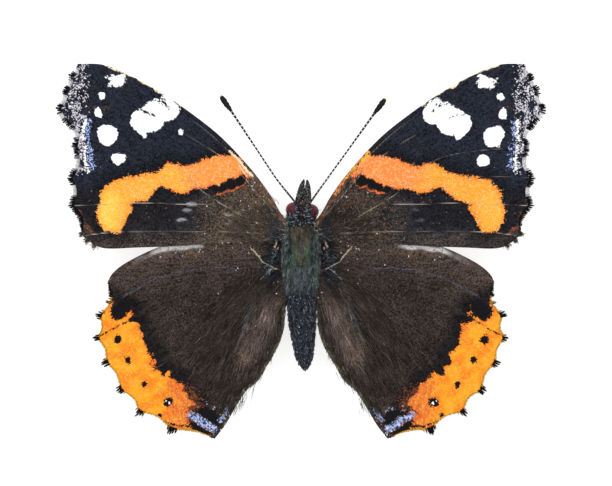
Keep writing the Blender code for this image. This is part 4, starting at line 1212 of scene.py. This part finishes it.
def brow(name, side, material, seed):
    """Hair and pale flecks lying over the inner and rear part of an eye."""
    draw = np.random.default_rng(seed)
    count = BROW_HAIRS
    rear = draw.uniform(0, 1, count) < 0.5
    along = draw.uniform(0, 1, count)
    roots = columns(np.where(rear, 0.4 + 1.35 * along, 0.28), np.where(rear, 4.0, 4.1 + 1.35 * along),
                    np.where(rear, 6.05 - 0.5 * along, 6.22))
    run = columns(np.where(rear, 0.12, 0.62), np.where(rear, 0.62, 0.12), np.where(rear, 0.3, 0.33))
    run = run * draw.uniform(0.6, 1.25, count)[:, None] + draw.normal(0, 0.09, (count, 3))
    pale = draw.uniform(0, 1, count) < 0.16
    colour = np.array((0.022, 0.022, 0.03)) * draw.lognormal(0, 0.5, count)[:, None]
    colour[pale] = np.array((0.36, 0.42, 0.5)) * draw.uniform(0.5, 1.6, int(pale.sum()))[:, None]
    bows = np.tile((0.0, 0.0, 0.12), (count, 1))
    places = columns(0.2 + 0.6 * along, np.where(rear, 0.3, 0.7))
    return turn_head(strands(name, roots, roots + run, bows, draw.uniform(0.03, 0.055, count), colour, colour,
                             places, material, side=side))


def proboscis(material):
    """The tongue rolled into a flat spring, after two points where it leaves the head."""
    _, middle_y, middle_z = PROBOSCIS_CENTRE
    path = [(0.0, 5.35, 3.95), (0.0, 5.7, 3.6)]
    coil = np.linspace(0, 1, 90)[len(path):]
    for t in coil:
        radius = 0.68 - 0.52 * t
        angle = math.radians(70) - 2 * math.pi * PROBOSCIS_TURNS * t
        path.append((0.0, middle_y + radius * math.cos(angle), middle_z + radius * math.sin(angle)))
    radii = [0.1] * 2 + [0.095 - 0.05 * k / len(coil) for k in range(len(coil))]
    return tube("proboscis_coil", path, radii, 1, material, "proboscis", spacing=0.04, flutes=0.06,
                pitch=0.12)


def claws(name, path, side, material):
    """A pair of small hooked claws at a foot's tip."""
    tip, heading = np.array(path[-1]), np.array(path[-1]) - np.array(path[-2])
    heading = heading / np.linalg.norm(heading)
    out = np.cross(heading, (0, 0, 1))
    roots = np.array([tip + out * 0.05 * k for k in (-1, 1)])
    ends = roots + heading * 0.2 + np.array([out * 0.09 * k for k in (-1, 1)]) - np.array((0, 0, 0.06))
    dark = np.full((2, 3), 0.03)
    return strands(name, roots, ends, np.array([(0, 0, 0.05)] * 2), np.full(2, 0.045), dark, dark,
                   np.full((2, 2), 0.5), material, segments=4, side=side)


def stage():
    """Plain pale floor, soft light and the camera."""
    mesh = bpy.data.meshes.new("floor")
    reach = 1.2
    corners = [(-reach, -reach, 0), (reach, -reach, 0), (reach, reach, 0), (-reach, reach, 0)]
    mesh.from_pydata(corners, [], [(0, 1, 2, 3)])
    paper = Nodes("floor_paper", roughness=0.9, specular_ior_level=0.1, emission_strength=0.72)
    paper.shader.inputs["Emission Color"].default_value = (1.0, 1.0, 1.0, 1.0)
    paper.colour(paper.mix(paper.noise(paper.place(), 900.0), (0.46, 0.46, 0.46), (0.5, 0.5, 0.5)))
    mesh.materials.append(paper.material)
    floor = bpy.data.objects.new("floor", mesh)
    bpy.context.scene.collection.objects.link(floor)
    world = bpy.data.worlds.new("studio")
    world.use_nodes = True
    world.node_tree.nodes["Background"].inputs[0].default_value = (1.0, 1.0, 1.0, 1.0)
    world.node_tree.nodes["Background"].inputs[1].default_value = 0.9
    bpy.context.scene.world = world
    for name, place, power, size in LAMPS:
        lamp = bpy.data.lights.new(name, "AREA")
        lamp.energy = power
        lamp.size = size
        holder = bpy.data.objects.new(name, lamp)
        holder.location = place
        holder.rotation_euler = Vector(place).to_track_quat("Z", "Y").to_euler()
        bpy.context.scene.collection.objects.link(holder)
    camera = bpy.data.cameras.new("camera")
    camera.sensor_width = SENSOR
    camera.lens = LENS
    viewer = bpy.data.objects.new("camera", camera)
    away = VIEW_WIDTH * LENS / SENSOR + WING_LEVEL
    viewer.location = (VIEW_CENTRE[0] * METRES, VIEW_CENTRE[1] * METRES, away * METRES)
    bpy.context.scene.collection.objects.link(viewer)
    bpy.context.scene.camera = viewer
    bpy.context.scene.view_settings.view_transform = "Standard"


def fore_tone(brightness):
    """Slate at the wing's root, brown further out."""
    slate, brown = (0.03, 0.034, 0.042), (0.062, 0.047, 0.035)
    return lambda p: blend(smooth((p[:, 0] - 2.4) / 1.8), slate, brown) * brightness


def hind_tone(p):
    """Brown, paler along the fold and greyer in the crease, both painted highlights, and darkest at the
    wing's root.
    """
    base = smooth((5.2 - np.hypot(p[:, 0], p[:, 1] + 1.5)) / 2.0)
    # Painted highlight: paler hair along the fold
    field = blend(0.85 * near(p, FOLD_HAIR, 2.1), (0.052, 0.041, 0.034), (0.19, 0.14, 0.12))
    # Painted highlight: grey-blue hair in the crease
    field = blend(0.7 * near(p, CREASE, 0.4), field, (0.11, 0.11, 0.125))
    return blend(base, field, (0.026, 0.03, 0.037))


def wings(side, end, fore, hind, hair, scales, seed):
    """Both wings of a side, with their fringes and hair."""
    wing(fore, side, end)
    wing(hind, side, end)
    fringe(fore, side, end, scales, seed)
    fringe(hind, side, end, scales, seed + 1)
    wing_hair("forewing_hair_" + end, side, FOREWING_HAIR, forewing_height,
              fore_tone(0.95 if side > 0 else 1.35), 0.5, hair, seed + 2, 0.03)
    wing_hair("hindwing_hair_" + end, side, HINDWING_HAIR, hindwing_height, hind_tone, 0.14, hair, seed + 3,
              0.004)
    rim = [(x + 0.16, y + 0.3, 0.16, 16, -76, 0.6) for x, y in spline(HAIRY_EDGE, 0.2)]
    wing_hair("hindwing_rim_hair_" + end, side, rim, hindwing_height, plain(0.1, 0.095, 0.068), 0.16, hair,
              seed + 8)


def wing_bases(side, end, hair, cream, joint, seed):
    """Bare veins, pale flecks and joints where the wings start."""
    for name, line, girth in (("humeral_vein_", HUMERAL_VEIN, 0.045), ("bare_cubitus_", BARE_CUBITUS, 0.03)):
        path = [(x, y, hindwing_height(x, y) + 0.25) for x, y in line]
        radii = [girth * (0.6 + 0.4 * (k % 2)) for k in range(len(line))]
        tube(name + end, path, radii, side, cream, sides=8)
    wing_hair("wing_base_flecks_" + end, side, BASE_FLECKS, forewing_height, plain(0.2, 0.24, 0.28), 1.0,
              hair, seed + 10)
    for k, (x, y, long, girth) in enumerate(WING_JOINTS):
        path = [(x, y, 6.9), (x + 0.12, y - 0.5 * long, 7.0), (x + 0.05, y - long, 6.9)]
        tube("wing_joint_%d_%s" % (k, end), path, [0.6 * girth, girth, 0.5 * girth], side, joint, sides=10)


def head(side, end, hair, shell, seed):
    """The parts of one side of the head."""
    turn_head(eye(side, eye_material(), "eye_" + end))
    brow("brow_hair_" + end, side, hair, seed + 9)
    turn_head(tube("palp_shell_" + end, PALP_PATH, PALP_RADII, side, shell, "palp_" + end))
    black, white = (0.009, 0.009, 0.011), (0.95, 0.93, 0.9)
    turn_head(limb_hair("palp_scales_" + end, PALP_PATH, PALP_RADII, side, 1100, 0.34, 0.86, 0.045,
                        (black, white), hair, seed + 4, (0.1, 0.97), flat=0.5, taper=0.8, rare=3.6))
    feeler = [*ANTENNA_BASE[end], *swung(ANTENNA_PATH, ANTENNA_SWING[end])[2:]]
    tube("antenna_rings_" + end, feeler, ANTENNA_RADII, side, ringed_material(), "antenna_" + end,
         sides=14, spacing=0.045, flutes=0.08, pitch=ANTENNA_RING)


def legs(side, end, hair, seed):
    """The three legs of one side."""
    shell = leg_material()
    tube("foreleg_shell_" + end, FORELEG_PATH, FORELEG_RADII, side, shell, "foreleg_" + end)
    limb_hair("foreleg_hair_" + end, FORELEG_PATH, FORELEG_RADII, side, 420, 0.42, 0.55, 0.018,
              ((0.07, 0.06, 0.05), (0.22, 0.2, 0.17)), hair, seed + 5)
    for leg, path in (("midleg", MIDLEG_PATH), ("hindleg", HINDLEG_PATH)):
        tube(leg + "_shell_" + end, path, WALKING_LEG_RADII, side, shell, leg + "_" + end, spacing=0.06,
             flutes=0.03, pitch=0.5)
        limb_hair(leg + "_scales_" + end, path, WALKING_LEG_RADII, side, 700, 0.26, 0.75, 0.02,
                  ((0.06, 0.045, 0.035), (0.24, 0.18, 0.12)), hair, seed + 6, (0.02, 0.5), 0.5)
        limb_hair(leg + "_spines_" + end, path, WALKING_LEG_RADII, side, 70, 0.3, 0.45, 0.016,
                  ((0.03, 0.02, 0.015), (0.05, 0.03, 0.02)), hair, seed + 7, (0.5, 0.99))
        claws(leg + "_claws_" + end, path, side, hair)


def body_coats(hair):
    """The coat, from the head to the abdomen's tip.

    After its zone, each has its number of hairs, their length, lift and width, tone, material and seed.
    """
    def on_back(p, d):
        return (np.abs(p[:, 0]) < 1.5) & zone(-1.8, 3.0, up=0.3)(p, d)

    coat("head_coat", lambda p, d: (p[:, 1] > 4.0) & (d[:, 1] < 0.8), 1500, 0.5, 0.5, 0.05,
         plain(0.085, 0.045, 0.046), hair, 1, 0.17, sweep=-1.0, splay=0.35)
    coat("cheek_coat", zone(2.9, 4.6, aside=0.5), 1100, 0.55, 0.5, 0.045, plain(0.035, 0.038, 0.045), hair, 8,
         0.06, sweep=-0.7, splay=0.15)
    coat("collar_coat", zone(2.9, 4.2), 2000, 0.55, 0.4, 0.045, plain(0.03, 0.036, 0.046), hair, 2, 0.06,
         splay=0.2)
    coat("back_coat", on_back, 2600, 0.5, 0.08, 0.055, thorax_tone, hair, 3, uneven=0.18)
    coat("thorax_coat", lambda p, d: zone(-5.3, 3.1)(p, d) & ~on_back(p, d), 4400, 0.8, 0.12, 0.045,
         thorax_tone, hair, 4, uneven=0.3)
    coat("flank_coat", zone(-5.4, 3.6, aside=0.6), 3800, 1.0, 0.26, 0.04, plain(0.1, 0.125, 0.122), hair, 5,
         splay=0.08)
    coat("mantle_coat", zone(-5.2, 3.3, out=1.6, up=0.2), 2600, 1.1, 0.2, 0.04, plain(0.11, 0.132, 0.125),
         hair, 13, splay=0.16, uneven=0.5)
    coat("abdomen_scales", zone(ABDOMEN_TIP_Y, -5.0), 6500, 0.3, 0.1, 0.045, plain(0.054, 0.056, 0.066), hair,
         6, uneven=0.5, segments=2)
    coat("abdomen_hair", zone(ABDOMEN_TIP_Y, -4.6), 2600, 0.5, 0.22, 0.025, plain(0.062, 0.068, 0.088), hair,
         7, uneven=0.6)
    coat("collar_flecks", zone(3.1, 4.5, up=-0.3), 300, 0.7, 0.5, 0.065, plain(0.3, 0.38, 0.46), hair, 10,
         0.4, splay=0.3, uneven=0.8, segments=2)
    coat("flank_flecks", zone(-5.0, 3.0, out=1.4, up=0), 300, 0.9, 0.25, 0.04, plain(0.2, 0.26, 0.26), hair,
         11, splay=0.12, segments=2)
    coat("abdomen_flecks", zone(-14.3, -5.2, up=-0.3), 420, 0.32, 0.3, 0.042, plain(0.2, 0.24, 0.29), hair,
         12, 0.04, uneven=0.7, segments=2)


def butterfly():
    """Every piece of the animal, first the left side and then the right."""
    hair = tinted_material("hair", 0.7)
    scales = tinted_material("fringe_scales", 0.7)
    fore_scales = wing_material(
        "forewing_scales", (0.0115, 0.0135, 0.0215), (0.016, 0.012, 0.0095), (0.075, 0.055, 0.041),
        ((0.97, 0.27, 0.06), (0.97, 0.38, 0.035), (1.0, 0.66, 0.36)), (0.05, 0.036, 0.026))
    hind_scales = wing_material(
        "hindwing_scales", (0.015, 0.011, 0.01), (0.0125, 0.009, 0.008), (0.042, 0.03, 0.025),
        ((0.95, 0.24, 0.012), (0.97, 0.36, 0.018), (1.0, 0.5, 0.12)), (0.045, 0.032, 0.024))
    shell = skin_material("body_skin", (0.008, 0.007, 0.007), (0.03, 0.027, 0.024), 2600.0)
    cream = skin_material("bare_vein", (0.2, 0.15, 0.1), (0.72, 0.63, 0.46), 2500.0)
    joint = skin_material("wing_joint", (0.09, 0.05, 0.04), (0.5, 0.32, 0.24), 4500.0)
    fore = wing_pair(
        "forewing", FOREWING_COSTA, FOREWING_TEETH, FOREWING_SCOOPS, FOREWING_DORSUM, FOREWING_FRINGE,
        veins=FOREWING_VEINS, height=forewing_height, marks=forewing_marks, worn=WORN_VEINS, root=(1.0, 1.0),
        material=fore_scales, tooth=(0.012, 0.011, 0.014), hollow=(1.0, 0.99, 1.0), longer=0.12,
        tooth_share=lambda p: 0.42 - 0.15 * smooth((8.5 - p[:, 1]) / 2) - 0.5 * smooth((5.2 - p[:, 1]) / 1.2))
    hind = wing_pair(
        "hindwing", HINDWING_COSTA, HINDWING_TEETH, HINDWING_SCOOPS, HINDWING_INNER, HINDWING_FRINGE,
        veins=HINDWING_VEINS, height=hindwing_height, marks=hindwing_marks, worn={"cubitus": 0.25},
        root=(1.0, -1.5), material=hind_scales, tooth=(0.015, 0.012, 0.011), hollow=(1.0, 0.5, 0.05),
        longer=1.5, tooth_share=lambda p: 0.79 - 0.6 * (p[:, 1] > -6.7))
    for side, end, seed in ((-1, "left", 200), (1, "right", 100)):
        wings(side, end, fore, hind, hair, scales, seed)
        wing_bases(side, end, hair, cream, joint, seed)
        head(side, end, hair, shell, seed)
        legs(side, end, hair, seed)
    body_skin(hair)
    turn_head(proboscis(skin_material("tongue", (0.05, 0.02, 0.01), (0.16, 0.07, 0.03), 4000.0, 0.35)))
    body_coats(hair)


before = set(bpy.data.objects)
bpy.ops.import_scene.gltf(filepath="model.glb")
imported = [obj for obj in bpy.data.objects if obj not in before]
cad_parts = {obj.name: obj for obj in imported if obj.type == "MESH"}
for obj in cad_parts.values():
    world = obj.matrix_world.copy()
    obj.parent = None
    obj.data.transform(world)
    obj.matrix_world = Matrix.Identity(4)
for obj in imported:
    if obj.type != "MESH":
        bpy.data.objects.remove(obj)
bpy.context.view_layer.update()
stage()
butterfly()
